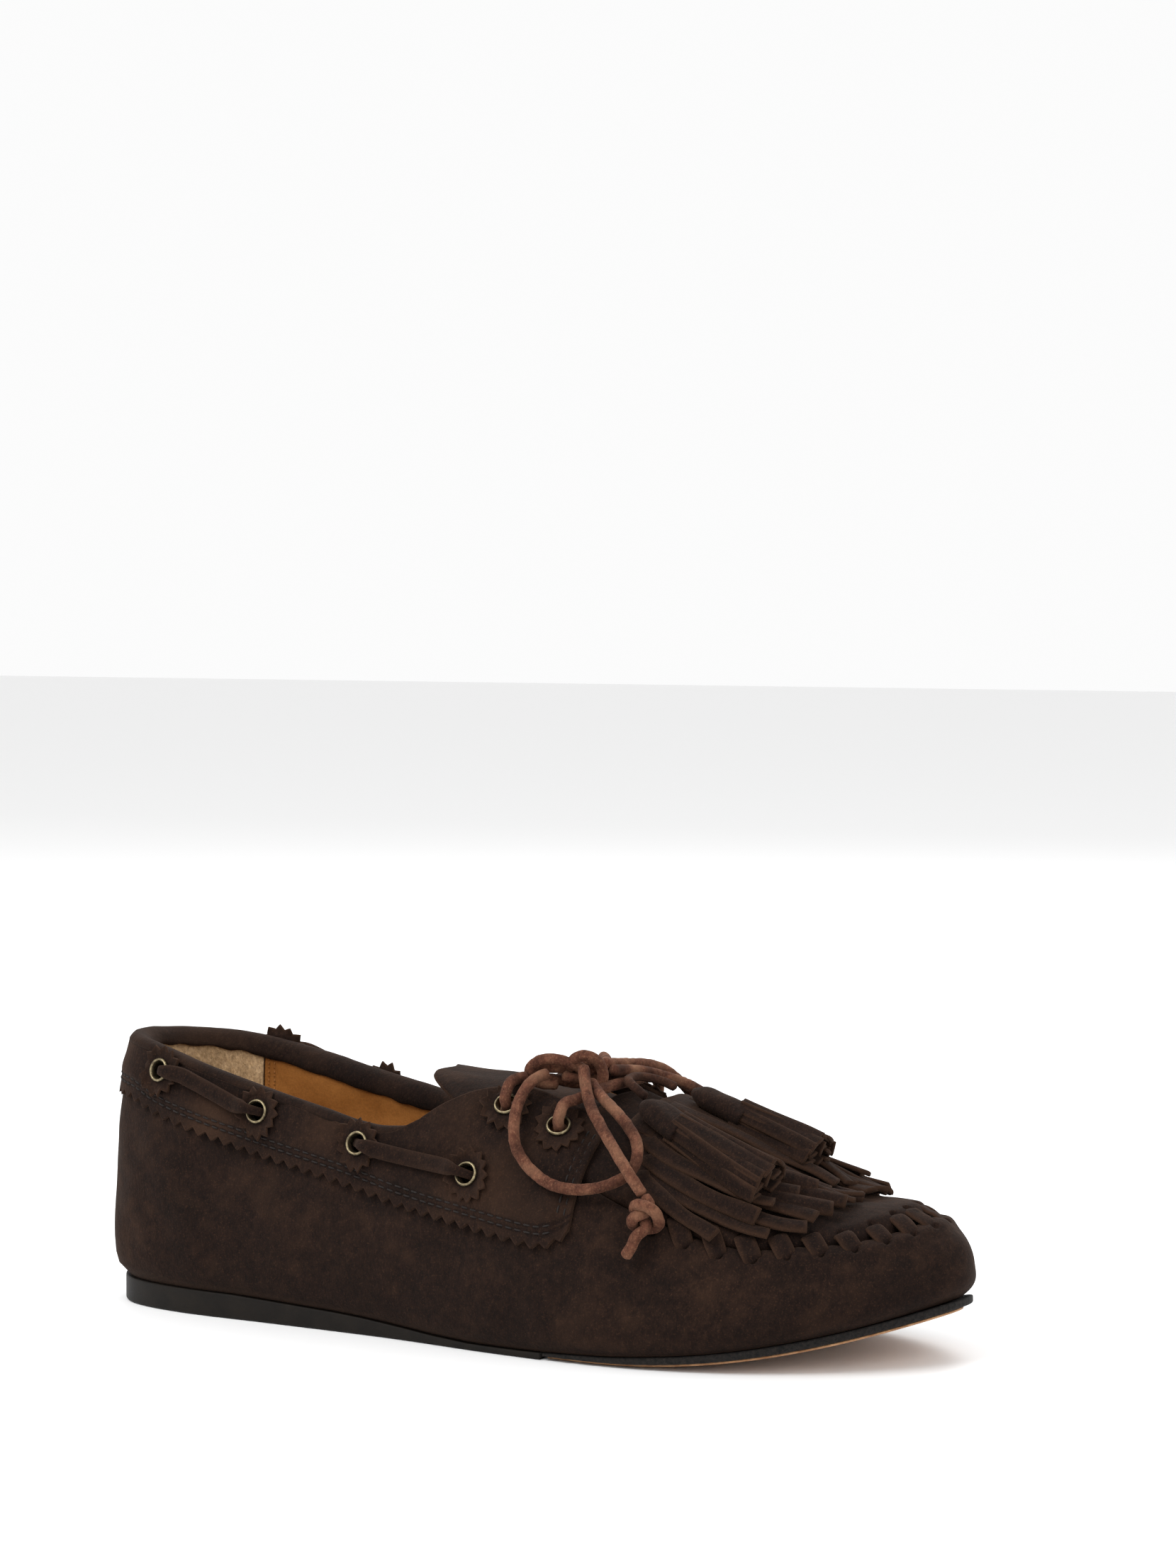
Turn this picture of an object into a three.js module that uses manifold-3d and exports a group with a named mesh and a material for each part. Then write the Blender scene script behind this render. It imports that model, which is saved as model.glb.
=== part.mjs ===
// A suede moccasin for the right foot: kiltie fringe, two tassels, a bow of round lace and a
// thong laced through the collar. Millimetres, +X to the toe, +Y to the inner (medial) side,
// +Z up. The origin is on the ground under the middle of the sole.
import * as THREE from 'three';
import { mergeVertices } from 'three/addons/utils/BufferGeometryUtils.js';
import Module from 'manifold-3d';

const wasm = await Module();
wasm.setup();

// ---------- driving dimensions: the sole outline and the ridge of the last ----------
const HEEL = [-124, 0];
const TOE = [123.5, 7];
const LATERAL_EDGE = [[-121, -13], [-111, -23.5], [-91, -29.5], [-60, -32], [-22, -35.5],
  [15, -41.5], [48, -44], [80, -38.5], [104, -25.5], [118, -9]];
const MEDIAL_EDGE = [[-121, 13], [-111, 23], [-91, 28.5], [-60, 28], [-25, 29],
  [10, 35.5], [40, 41.5], [70, 42.5], [97, 37], [115, 26]];
const RIDGE_X = [-92, -88, -82, -70, -46, -14, 18, 48, 71, 84, 91, 94];
const RIDGE_Y = [0, 0, 0, 0, 0, 0, 1, 3, 5, 6, 6.8, 7];
const RIDGE_Z = [100, 99, 98, 95, 87, 77.5, 69.5, 58, 48, 43, 41, 40.5];
const BLUNTNESS = [2.7, 2.7, 2.8, 2.9, 2.85, 2.7, 2.55, 2.35, 2.2, 2.15, 2.1, 2.1];

const OVERHANG = 3; // how far the upper swells past the sole
const TUCK = 4.5; // how far its lower edge turns back in
const TUCK_HEIGHT = 10;
const SOLE_PROFILE = [[-130, 8.5], [-75, 8], [-30, 6], [5, 3.6], [30, 3.2], [200, 3.2]];
const SPRING_START = 45; // the toe lifts off the ground from here on
const TOE_SPRING = 13;
const SPRING_RUN = TOE[0] - SPRING_START;
const GAP = 0.3;

// Layers of the upper, as distances from the outside of the vamp.
const VAMP = [-1.5, 0];
const COUNTER = [-2.5, -1.8];
const LINING = [-3.9, -2.8];
const TONGUE = [-5.8, -4.4];
const COLLAR_GAP = 0.45; // between the vamp and the collar at its sewn edges
const COLLAR_LIFT = 1.7; // the collar stands this far off the vamp and hides the thong
const COLLAR_THICKNESS = 1.1;
const APRON_THONG = [0.25, 0.95];
const KILTIE_LOWER = [1.4, 2.2];
const KILTIE_UPPER = [2.5, 3.3];
const WASHER = [3.1, 3.9];
const EYELET_BASE = 4.2;

// Edges of the pieces, against u: 0 at the heel seam, 1 at the tip of the toe.
const TOPLINE_Z = [[0, 74], [0.12, 74], [0.19, 73.5], [0.25, 71.5], [0.31, 67.8], [0.36, 63.6],
  [0.4, 60.2], [0.43, 57], [0.455, 55.8], [0.475, 58.6]];
const FACING_START = 0.475;
const FACING_T = [[0.475, 0.47], [0.492, 0.56], [0.508, 0.63], [0.525, 0.69], [0.55, 0.72],
  [0.61, 0.71]];
const COLLAR_EDGE_Z = [[0, 58.5], [0.186, 57.6], [0.24, 54.3], [0.296, 50.3], [0.367, 44.8],
  [0.425, 40], [0.467, 36], [0.528, 32], [0.578, 29.2], [0.592, 30], [0.61, 34]];
const COLLAR_FRONT = 0.605;
const VAMP_TOP_T = [[0.45, 0.4], [0.5, 0.42], [0.55, 0.45], [0.6, 0.47]];
const APRON_START = 0.6; // from here on the vamp ends at the apron's seam
const SEAM_T = [[0.58, 0.48], [0.6, 0.47], [0.66, 0.43], [0.7, 0.405], [0.74, 0.4], [0.77, 0.42],
  [0.805, 0.44], [0.84, 0.46], [0.87, 0.495], [0.9, 0.53], [0.93, 0.56], [0.965, 0.585],
  [1, 0.595]];
const SEAM_GAP = 0.008; // half the gap at the apron's seam, in t
const TONGUE_SIDE_T = [[0.462, 0.62], [0.48, 0.53], [0.5, 0.57], [0.52, 0.66], [0.62, 0.67]];
const SIDE_EYELETS = [[0.248, 0.359], [0.355, 0.328], [0.435, 0.332], [0.522, 0.347]];
const FRONT_EYELETS = [[0.533, 0.602], [0.575, 0.598]];
const EYELET_BORE = 2.45;
const EYELET_HOLE = 3.15; // cut through leather for the eyelet's barrel

// ---------- small curve helpers ----------
function blend(a, b, c, d, s) {
  return 0.5 * (2 * b + (c - a) * s + (2 * a - 5 * b + 4 * c - d) * s * s
    + (3 * b - a - 3 * c + d) * s ** 3);
}

function linear(list, x) {
  let i = 0;
  while (i < list.length - 2 && x > list[i + 1][0]) i += 1;
  const s = THREE.MathUtils.clamp((x - list[i][0]) / (list[i + 1][0] - list[i][0]), 0, 1);
  return list[i][1] + (list[i + 1][1] - list[i][1]) * s;
}

// A smooth curve through [x, y] pairs at uneven steps.
function smooth(list, x) {
  const n = list.length;
  let i = 0;
  while (i < n - 2 && x > list[i + 1][0]) i += 1;
  const slope = (k) => {
    const lo = Math.max(0, k - 1);
    const hi = Math.min(n - 1, k + 1);
    return (list[hi][1] - list[lo][1]) / (list[hi][0] - list[lo][0]);
  };
  const h = list[i + 1][0] - list[i][0];
  const s = THREE.MathUtils.clamp((x - list[i][0]) / h, 0, 1);
  return (2 * s ** 3 - 3 * s * s + 1) * list[i][1] + (s ** 3 - 2 * s * s + s) * h * slope(i)
    + (3 * s * s - 2 * s ** 3) * list[i + 1][1] + (s ** 3 - s * s) * h * slope(i + 1);
}

// ---------- the last: w runs round the shoe, t runs up from the sole edge to the ridge ----------
// w is -1 at the toe, -0.5 on the lateral side, 0 at the heel, 0.5 on the medial side, 1 at the toe.
const LOOP = [TOE, ...[...LATERAL_EDGE].reverse(), HEEL, ...MEDIAL_EDGE];
const SPANS = LOOP.length / 2;
const wrap = (w) => (((w + 1) % 2) + 2) % 2 - 1;

function outline(w) {
  const place = (wrap(w) + 1) * SPANS;
  const i = Math.floor(place);
  const n = LOOP.length;
  const at = (k) => LOOP[((i + k) % n + n) % n];
  return [0, 1].map((k) => blend(at(-1)[k], at(0)[k], at(1)[k], at(2)[k], place - i));
}

function along(values, w) {
  const place = Math.abs(wrap(w)) * SPANS;
  const i = Math.min(Math.floor(place), SPANS - 1);
  const before = i === 0 ? values[1] : values[i - 1];
  const after = i === SPANS - 1 ? values[SPANS - 1] : values[i + 2];
  return blend(before, values[i], values[i + 1], after, place - i);
}

const SEAT_GAP = 0.4; // between the sole and the upper
const lift = (x) => TOE_SPRING * (Math.max(0, x - SPRING_START) / SPRING_RUN) ** 2;
const soleTop = (x) => linear(SOLE_PROFILE, x) + lift(x);

function lastPoint(w, t) {
  const edge = outline(w);
  const crown = [along(RIDGE_X, w), along(RIDGE_Y, w)];
  const floor = soleTop(edge[0]) + SEAT_GAP;
  const top = along(RIDGE_Z, w);
  const power = 2 / along(BLUNTNESS, w);
  const reach = Math.hypot(crown[0] - edge[0], crown[1] - edge[1]);
  const inward = [(crown[0] - edge[0]) / reach, (crown[1] - edge[1]) / reach];
  const angle = THREE.MathUtils.clamp(t, 0, 1) * Math.PI / 2;
  const z = floor + (top - floor) * Math.sin(angle) ** power;
  const travel = (reach + OVERHANG) * (1 - Math.max(0, Math.cos(angle)) ** power) - OVERHANG
    + TUCK * Math.max(0, 1 - (z - floor) / TUCK_HEIGHT) ** 2;
  return new THREE.Vector3(edge[0] + inward[0] * travel, edge[1] + inward[1] * travel, z);
}

function lastNormal(w, t) {
  const step = 2e-3;
  const s = THREE.MathUtils.clamp(t, step, 1 - step);
  const round = lastPoint(w + step, s).sub(lastPoint(w - step, s));
  const up = lastPoint(w, s + step).sub(lastPoint(w, s - step));
  return up.cross(round).normalize();
}

const onLast = (w, t, off) => lastPoint(w, t).addScaledVector(lastNormal(w, t), off);

function heightToT(w, z) {
  const floor = soleTop(outline(w)[0]) + SEAT_GAP;
  const share = THREE.MathUtils.clamp((z - floor) / (along(RIDGE_Z, w) - floor), 0, 1);
  return Math.asin(Math.min(1, share ** (along(BLUNTNESS, w) / 2))) / (Math.PI / 2);
}

// Over the top of the foot: u along the shoe, s across it, negative on the lateral side.
const across = (u, s) => [s < 0 ? -u : u, 1 - Math.abs(s)];

const toplineT = (w) => heightToT(w, smooth(TOPLINE_Z, Math.abs(w)));
const collarTopT = (w) => (Math.abs(w) < FACING_START ? toplineT(w) : smooth(FACING_T, Math.abs(w)));
const collarEdgeT = (w) => heightToT(w, smooth(COLLAR_EDGE_Z, Math.abs(w)));
const seamT = (w) => smooth(SEAM_T, Math.abs(w));

function vampTopT(w) {
  const u = Math.abs(w);
  if (u < VAMP_TOP_T[0][0]) return toplineT(w);
  return u < APRON_START ? smooth(VAMP_TOP_T, u) : seamT(w) - SEAM_GAP;
}

// ---------- solids ----------
function makeGeometry(positions, triangles) {
  const geometry = new THREE.BufferGeometry();
  geometry.setAttribute('position', new THREE.Float32BufferAttribute(positions, 3));
  geometry.setIndex(triangles);
  return geometry;
}

function volumeOf(points, triangles) {
  return triangles.reduce((sum, [a, b, c]) => {
    const normal = new THREE.Vector3().crossVectors(points[b], points[c]);
    return sum + points[a].dot(normal);
  }, 0);
}

function solidFrom(points, triangles) {
  const outward = volumeOf(points, triangles) > 0;
  const faces = outward ? triangles : triangles.map(([a, b, c]) => [a, c, b]);
  return makeGeometry(points.flatMap((p) => p.toArray()), faces.flat());
}

// A sheet with a front and a back: place(a, b), for a and b from 0 to 1, gives the two points.
// Spots that fall together are welded, and walls close whatever edges are left open.
function sheet(columns, rows, place) {
  const fronts = [];
  const backs = [];
  const index = new Map();
  const ids = [];
  for (let i = 0; i <= columns; i += 1) {
    for (let j = 0; j <= rows; j += 1) {
      const [front, back] = place(i / columns, j / rows);
      const key = front.toArray().map((v) => Math.round(v * 100)).join();
      if (!index.has(key)) {
        index.set(key, fronts.length);
        fronts.push(front);
        backs.push(back);
      }
      ids.push(index.get(key));
    }
  }
  const quads = [];
  for (let i = 0; i < columns; i += 1) {
    for (let j = 0; j < rows; j += 1) {
      const a = i * (rows + 1) + j;
      const b = a + rows + 1;
      quads.push([ids[a], ids[b], ids[b + 1]], [ids[a], ids[b + 1], ids[a + 1]]);
    }
  }
  const faces = quads.filter(([a, b, c]) => a !== b && b !== c && a !== c);
  const edges = new Set(faces.flatMap(([a, b, c]) => [`${a},${b}`, `${b},${c}`, `${c},${a}`]));
  const open = [...edges].map((e) => e.split(',').map(Number)).filter(([a, b]) => !edges.has(`${b},${a}`));
  const n = fronts.length;
  const walls = open.flatMap(([a, b]) => [[b, a, a + n], [b, a + n, b + n]]);
  const under = faces.map(([a, b, c]) => [a + n, c + n, b + n]);
  return solidFrom([...fronts, ...backs], [...faces, ...under, ...walls]);
}

// Leather over the last, between two distances from it. spot(a, b) gives [w, t], and the
// distances are numbers or functions of w, t, a and b.
function leather(columns, rows, spot, [inner, outer]) {
  const far = (rule, ...at) => (typeof rule === 'function' ? rule(...at) : rule);
  return sheet(columns, rows, (a, b) => {
    const [w, t] = spot(a, b);
    return [onLast(w, t, far(outer, w, t, a, b)), onLast(w, t, far(inner, w, t, a, b))];
  });
}

// A row of closed rings joined into one body, with a flat cap at each end.
function loft(rings) {
  const sides = rings[0].length;
  const points = rings.flat();
  const faces = [];
  for (let i = 0; i < rings.length - 1; i += 1) {
    for (let k = 0; k < sides; k += 1) {
      const a = i * sides + k;
      const b = i * sides + (k + 1) % sides;
      faces.push([a, b, b + sides], [a, b + sides, a + sides]);
    }
  }
  const last = (rings.length - 1) * sides;
  for (let k = 1; k < sides - 1; k += 1) {
    faces.push([0, k + 1, k], [last, last + k, last + k + 1]);
  }
  return solidFrom(points, faces);
}

function toManifold(geometry) {
  const plain = geometry.clone();
  plain.deleteAttribute('normal');
  plain.deleteAttribute('uv');
  const merged = mergeVertices(plain, 1e-4);
  return new wasm.Manifold(new wasm.Mesh({
    numProp: 3,
    vertProperties: Float32Array.from(merged.attributes.position.array),
    triVerts: Uint32Array.from(merged.index.array),
  }));
}

function toGeometry(solid) {
  const mesh = solid.getMesh();
  return makeGeometry([...mesh.vertProperties], [...mesh.triVerts]);
}

function cut(geometry, tools) {
  const solid = tools.reduce((left, tool) => left.subtract(toManifold(tool)), toManifold(geometry));
  return toGeometry(solid);
}

// A straight punch through the leather at one eyelet.
function punch(w, t) {
  const tool = new THREE.CylinderGeometry(EYELET_HOLE, EYELET_HOLE, 14, 8);
  tool.rotateX(Math.PI / 2);
  tool.applyMatrix4(seatMatrix(w, t, 0));
  return tool;
}

// A frame on the last with +Z along its normal and +X along the shoe.
function seatMatrix(w, t, off) {
  const z = lastNormal(w, t);
  const x = lastPoint(w + 2e-3, t).sub(lastPoint(w - 2e-3, t));
  x.addScaledVector(z, -x.dot(z)).normalize();
  const y = new THREE.Vector3().crossVectors(z, x);
  return new THREE.Matrix4().makeBasis(x, y, z).setPosition(onLast(w, t, off));
}

function tube(route, diameter, steps) {
  const section = new THREE.Shape();
  for (let k = 0; k < 8; k += 1) {
    const angle = (k / 8) * 2 * Math.PI;
    const point = [Math.cos(angle) * diameter / 2, Math.sin(angle) * diameter / 2];
    if (k) section.lineTo(...point);
    else section.moveTo(...point);
  }
  const curve = new THREE.CatmullRomCurve3(route.map((p) => new THREE.Vector3(...p)));
  const geometry = new THREE.ExtrudeGeometry(section, { steps, bevelEnabled: false, extrudePath: curve });
  geometry.deleteAttribute('normal');
  geometry.deleteAttribute('uv');
  return mergeVertices(geometry, 1e-4);
}

// ---------- materials ----------
const material = (color, roughness, metalness = 0) => new THREE.MeshStandardMaterial({ color, roughness, metalness });
const SUEDE = material(0x3a2a22, 0.95);
const SUEDE_DARK = material(0x2c201b, 0.95);
const LACE = material(0x7a4f3e, 0.6);
const BRASS = material(0x9a8868, 0.35, 1);
const TAN = material(0xb07440, 0.55);
const BEIGE = material(0xb59c7c, 0.7);
const BLACK_RUBBER = material(0x2b2927, 0.5);
const BOARD = material(0x8a7458, 0.85);

const shoe = new THREE.Group();
function add(name, geometry, look) {
  const mesh = new THREE.Mesh(geometry, look);
  mesh.name = name;
  shoe.add(mesh);
}

// ---------- the bottom ----------
// The sole's outline, drawn in by an inset.
function insetOutline(w, inset) {
  const edge = outline(w);
  const next = outline(w + 0.002);
  const back = outline(w - 0.002);
  const run = [next[0] - back[0], next[1] - back[1]];
  const size = Math.hypot(...run);
  return [edge[0] + (inset * run[1]) / size, edge[1] - (inset * run[0]) / size];
}

// A slab inside the outline from one u to another, between two heights that depend on x.
function slab(inset, from, to, low, high, columns, rows) {
  return sheet(columns, rows, (a, b) => {
    const u = from + (to - from) * (0.5 - 0.5 * Math.cos(a * Math.PI));
    const lateral = insetOutline(-u, inset);
    const medial = insetOutline(u, inset);
    const x = lateral[0] + (medial[0] - lateral[0]) * b;
    const y = lateral[1] + (medial[1] - lateral[1]) * b;
    return [new THREE.Vector3(x, y, high(x)), new THREE.Vector3(x, y, low(x))];
  });
}

const WEDGE_FRONT = 0.58;
const FOREFOOT_START = 0.583;
const TREAD_THICKNESS = 0.7;
const BOARD_THICKNESS = 2; // with the gap under it
const SOCK_THICKNESS = 1.3;
add('heel_wedge', slab(0, 0, WEDGE_FRONT, () => 0, soleTop, 26, 1), BLACK_RUBBER);
add('forefoot_tread', slab(0, FOREFOOT_START, 1, lift, (x) => lift(x) + TREAD_THICKNESS, 18, 1), TAN);
add('forefoot_sole', slab(0, FOREFOOT_START, 1, (x) => lift(x) + TREAD_THICKNESS + GAP, soleTop, 18, 1),
  BLACK_RUBBER);
const boardTop = (x) => soleTop(x) + BOARD_THICKNESS;
add('insole_board', slab(5, 0, 1, (x) => soleTop(x) + GAP, boardTop, 24, 1), BOARD);
add('insole_sock', slab(4, 0, 1, (x) => boardTop(x) + GAP, (x) => boardTop(x) + SOCK_THICKNESS, 24, 1), BEIGE);

// ---------- the upper ----------
const LOW_EDGE = 3; // the linings and the counter start this far above the sole
const COUNTER_TOP = 50;
const lowT = (w) => heightToT(w, soleTop(outline(w)[0]) + LOW_EDGE);
const mix = (from, to, s) => from + (to - from) * s;
const allRound = (s) => -1 + 2 * s;

add('vamp', leather(52, 6, (a, b) => [allRound(a), vampTopT(allRound(a)) * b * b], VAMP), SUEDE);
add('heel_counter', leather(16, 3, (a, b) => {
  const w = mix(-0.3, 0.3, a);
  return [w, mix(lowT(w), heightToT(w, COUNTER_TOP), b)];
}, COUNTER), BOARD);

const PLUG_BACK = 0.585;
add('apron_plug', leather(12, 8, (a, b) => {
  const u = mix(PLUG_BACK, 1, a);
  const half = 1 - seamT(u) - SEAM_GAP;
  return across(u, mix(-half, half, b));
}, VAMP), SUEDE);

// The whip stitches: one thong that runs along the seam, widest where it crosses over.
const STITCHES = 23;
const SEAM_START = 0.625;
add('apron_thong', leather(STITCHES * 3, 1, (a, b) => {
  const w = 1 - (1 - SEAM_START) * (1 - 2 * a);
  const crossing = Math.sin(Math.PI * a * STITCHES) ** 2;
  return [w, seamT(wrap(w)) + mix(-1, 1, b) * mix(0.02, 0.055, crossing)];
}, APRON_THONG), SUEDE_DARK);

const COLLAR_RISE = 0.06; // the collar leaves the vamp over this much t above its lower edge
function collarInner(w, t) {
  const up = THREE.MathUtils.smoothstep(t - collarEdgeT(w), 0, COLLAR_RISE);
  const back = THREE.MathUtils.smoothstep(COLLAR_FRONT - Math.abs(w), 0, 0.02);
  return mix(COLLAR_GAP, COLLAR_LIFT, up * back);
}
const mirrored = (list) => [...list.map(([u, t]) => [-u, t]), ...list];
const eyelets = mirrored([...SIDE_EYELETS, ...FRONT_EYELETS]);
const punches = eyelets.map(([w, t]) => punch(w, t));
const collarBlank = leather(48, 4, (a, b) => {
  const w = mix(-COLLAR_FRONT, COLLAR_FRONT, a);
  return [w, mix(collarEdgeT(w), collarTopT(w), b)];
}, [collarInner, (w, t) => collarInner(w, t) + COLLAR_THICKNESS]);
add('collar', cut(collarBlank, punches), SUEDE);

const LINING_SEAM = 0.238;
const LINING_FRONT = 0.6;
const liningBlank = (side) => leather(16, 4, (a, b) => {
  const w = side * mix(LINING_SEAM + 0.0015, LINING_FRONT, a);
  return [w, mix(lowT(w), collarTopT(w) - 0.012, b)];
}, LINING);
const frontPunches = (side) => FRONT_EYELETS.map(([u, t]) => punch(side * u, t));
add('lateral_quarter_lining', cut(liningBlank(-1), frontPunches(-1)), TAN);
add('medial_quarter_lining', cut(liningBlank(1), frontPunches(1)), TAN);
add('heel_lining', leather(12, 4, (a, b) => {
  const w = mix(-LINING_SEAM, LINING_SEAM, a);
  return [w, mix(lowT(w), toplineT(w), b)];
}, LINING), BEIGE);

// The binding caps the topline and turns down inside: [distance from the last, height] pairs,
// from the inner corner round, so that its end caps fill the corner rightly.
const BINDING = [[-4.5, 0.6], [2.8, 0.6], [2.4, 2.1], [-4.4, 2.3], [-5.3, 1.5], [-5.3, -5.5],
  [-4.5, -5.5]];
const BINDING_END = 0.47;
const bindingRings = [];
const BINDING_STEPS = 44;
for (let i = 0; i <= BINDING_STEPS; i += 1) {
  const w = mix(-BINDING_END, BINDING_END, i / BINDING_STEPS);
  const top = smooth(TOPLINE_Z, Math.abs(w));
  bindingRings.push(BINDING.map(([off, height]) => onLast(w, heightToT(w, top + height), off)));
}
add('topline_binding', loft(bindingRings), SUEDE_DARK);

const TONGUE_BACK = 0.462;
const TONGUE_FRONT = 0.61;
const TONGUE_SAG = 5; // how far its free end drops inside the shoe, in the middle
const tongueLayer = (off) => (w, t, a, b) => off - TONGUE_SAG * (1 - a) ** 2 * Math.sin(b * Math.PI);
add('tongue', leather(9, 8, (a, b) => {
  const u = mix(TONGUE_BACK, TONGUE_FRONT, a);
  const half = 1 - smooth(TONGUE_SIDE_T, u);
  return across(u, mix(-half, half, b));
}, TONGUE.map(tongueLayer)), SUEDE);

// ---------- the kiltie and its tassels ----------
const KILTIE_ROOT = 0.615;
const KILTIE_HALF = [[0.615, 0.3], [0.64, 0.37], [0.66, 0.45], [0.69, 0.54], [0.72, 0.59], [0.9, 0.5]];
function kiltie(name, sideEnd, middleEnd, share, layer) {
  add(name, leather(8, 8, (a, b) => {
    const reach = mix(sideEnd, middleEnd, Math.sin(b * Math.PI));
    const u = mix(KILTIE_ROOT, reach, a);
    const half = share * smooth(KILTIE_HALF, u);
    return across(u, mix(-half, half, b));
  }, layer), SUEDE);
}
kiltie('kiltie_lower', 0.735, 0.87, 1, KILTIE_LOWER);
kiltie('kiltie_upper', 0.7, 0.8, 0.85, KILTIE_UPPER);

// Each tassel lies along a line of [u, s] on the kiltie: a wrapped head, then a fan of strips.
const TASSEL_BED = KILTIE_UPPER[1] + GAP;
const TASSEL_HEAD_SHARE = 0.3;
function tassel(side, [u0, s0], [u1, s1]) {
  const piece = (name, from, to, halfFrom, halfTo, edgeThickness, middleThickness, columns) => {
    const top = (w, t, a, b) => TASSEL_BED + mix(edgeThickness, middleThickness, Math.sin(b * Math.PI));
    add(`${side}_${name}`, leather(columns, 6, (a, b) => {
      const c = mix(from, to, a);
      return across(mix(u0, u1, c), mix(s0, s1, c) + mix(-1, 1, b) * mix(halfFrom, halfTo, a));
    }, [TASSEL_BED, top]), SUEDE);
  };
  piece('tassel_head', 0, TASSEL_HEAD_SHARE - 0.008, 0.045, 0.085, 2, 6.5, 4);
  piece('tassel_fringe', TASSEL_HEAD_SHARE, 1, 0.09, 0.145, 2.4, 5, 8);
}
tassel('lateral', [0.618, -0.19], [0.752, -0.36]);
tassel('medial', [0.628, 0.02], [0.8, 0.02]);

// ---------- eyelets on their washers ----------
const WASHER_RADIUS = [6.2, 7.1];
const WASHER_TEETH = 10;
function washer(w0, t0) {
  const perW = lastPoint(w0 + 1e-3, t0).distanceTo(lastPoint(w0 - 1e-3, t0)) / 2e-3;
  const perT = lastPoint(w0, t0 + 1e-3).distanceTo(lastPoint(w0, t0 - 1e-3)) / 2e-3;
  return leather(2 * WASHER_TEETH, 1, (a, b) => {
    const tip = Math.round(a * 2 * WASHER_TEETH) % 2;
    const radius = b ? WASHER_RADIUS[tip] : EYELET_HOLE;
    const angle = 2 * Math.PI * a;
    return [w0 + (radius * Math.cos(angle)) / perW, t0 + (radius * Math.sin(angle)) / perT];
  }, WASHER);
}

const EYELET_PROFILE = [[EYELET_BORE, -2.1], [2.75, -2.1], [2.75, 0.05], [3.4, 0.05], [3.2, 0.9],
  [EYELET_BORE, 0.4], [EYELET_BORE, -2.1]];
function eyelet(w, t) {
  const profile = EYELET_PROFILE.map((p) => new THREE.Vector2(...p));
  const geometry = new THREE.LatheGeometry(profile, 10);
  geometry.rotateX(Math.PI / 2);
  geometry.applyMatrix4(seatMatrix(w, t, EYELET_BASE));
  geometry.deleteAttribute('normal');
  geometry.deleteAttribute('uv');
  return mergeVertices(geometry, 1e-4);
}

eyelets.forEach(([w, t], k) => {
  const place = `${w < 0 ? 'lateral' : 'medial'}_${(k % (eyelets.length / 2)) + 1}`;
  add(`${place}_washer`, washer(w, t), SUEDE);
  add(`${place}_eyelet`, eyelet(w, t), BRASS);
});

// ---------- the thong through the collar ----------
// Through a side eyelet: [millimetres past its middle, distance from the last, width share].
const SIDE_DIVE = [[-8, 4.9, 1], [-4.6, 5.95, 0.9], [-2.5, 5.9, 0.65], [0, 3.3, 0.55],
  [2.5, 1.05, 0.6], [4.6, 0.85, 0.9], [8, 0.85, 1]];
const THONG_WIDTH = 3.6;
const THONG_THICKNESS = 0.9;
const thongRoute = [];
const THONG_OUTSIDE = 3.7; // its height on the outside, between two washers
const THONG_STEP = 7;
const SIDE_LENGTH = 330; // of the upper's side, for w from 0 to 1
const sideEyelets = [...SIDE_EYELETS.map(([u, t]) => [-u, t]).reverse(), ...SIDE_EYELETS];
sideEyelets.forEach(([w, t], k) => {
  const perW = lastPoint(w + 1e-3, t).distanceTo(lastPoint(w - 1e-3, t)) / 2e-3;
  const comesOut = k % 2 === 0;
  const dive = comesOut ? SIDE_DIVE.map(([d, off, share]) => [-d, off, share]).reverse() : SIDE_DIVE;
  if (k) {
    const [w0, t0] = thongRoute[thongRoute.length - 1];
    const [d] = dive[0];
    const span = w + d / perW - w0;
    const count = Math.max(2, Math.round((Math.abs(span) * SIDE_LENGTH) / THONG_STEP));
    for (let i = 1; i < count; i += 1) {
      const off = comesOut ? SIDE_DIVE[6][1] : mix(THONG_OUTSIDE, SIDE_DIVE[0][1], 2 * Math.abs(i / count - 0.5));
      thongRoute.push([w0 + (span * i) / count, mix(t0, t, i / count), off, 1]);
    }
  }
  dive.forEach(([d, off, share]) => thongRoute.push([w + d / perW, t, off, share]));
});
const thongPoints = thongRoute.map(([w, t, off]) => onLast(w, t, off));
const thongRings = thongRoute.map(([w, t, , share], i) => {
  const before = thongPoints[Math.max(0, i - 1)];
  const after = thongPoints[Math.min(thongPoints.length - 1, i + 1)];
  const run = after.clone().sub(before).normalize();
  const flat = new THREE.Vector3().crossVectors(run, lastNormal(w, t)).normalize();
  const up = new THREE.Vector3().crossVectors(flat, run).normalize();
  const half = (THONG_WIDTH * share) / 2;
  return [[-1, -1], [1, -1], [1, 1], [-1, 1]].map(([p, q]) => thongPoints[i].clone()
    .addScaledVector(flat, p * half).addScaledVector(up, (q * THONG_THICKNESS) / 2));
});
add('side_thong', loft(thongRings), SUEDE_DARK);

// ---------- the front lace, its bow and its ends ----------
const LACE_DIAMETER = 3;
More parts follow.
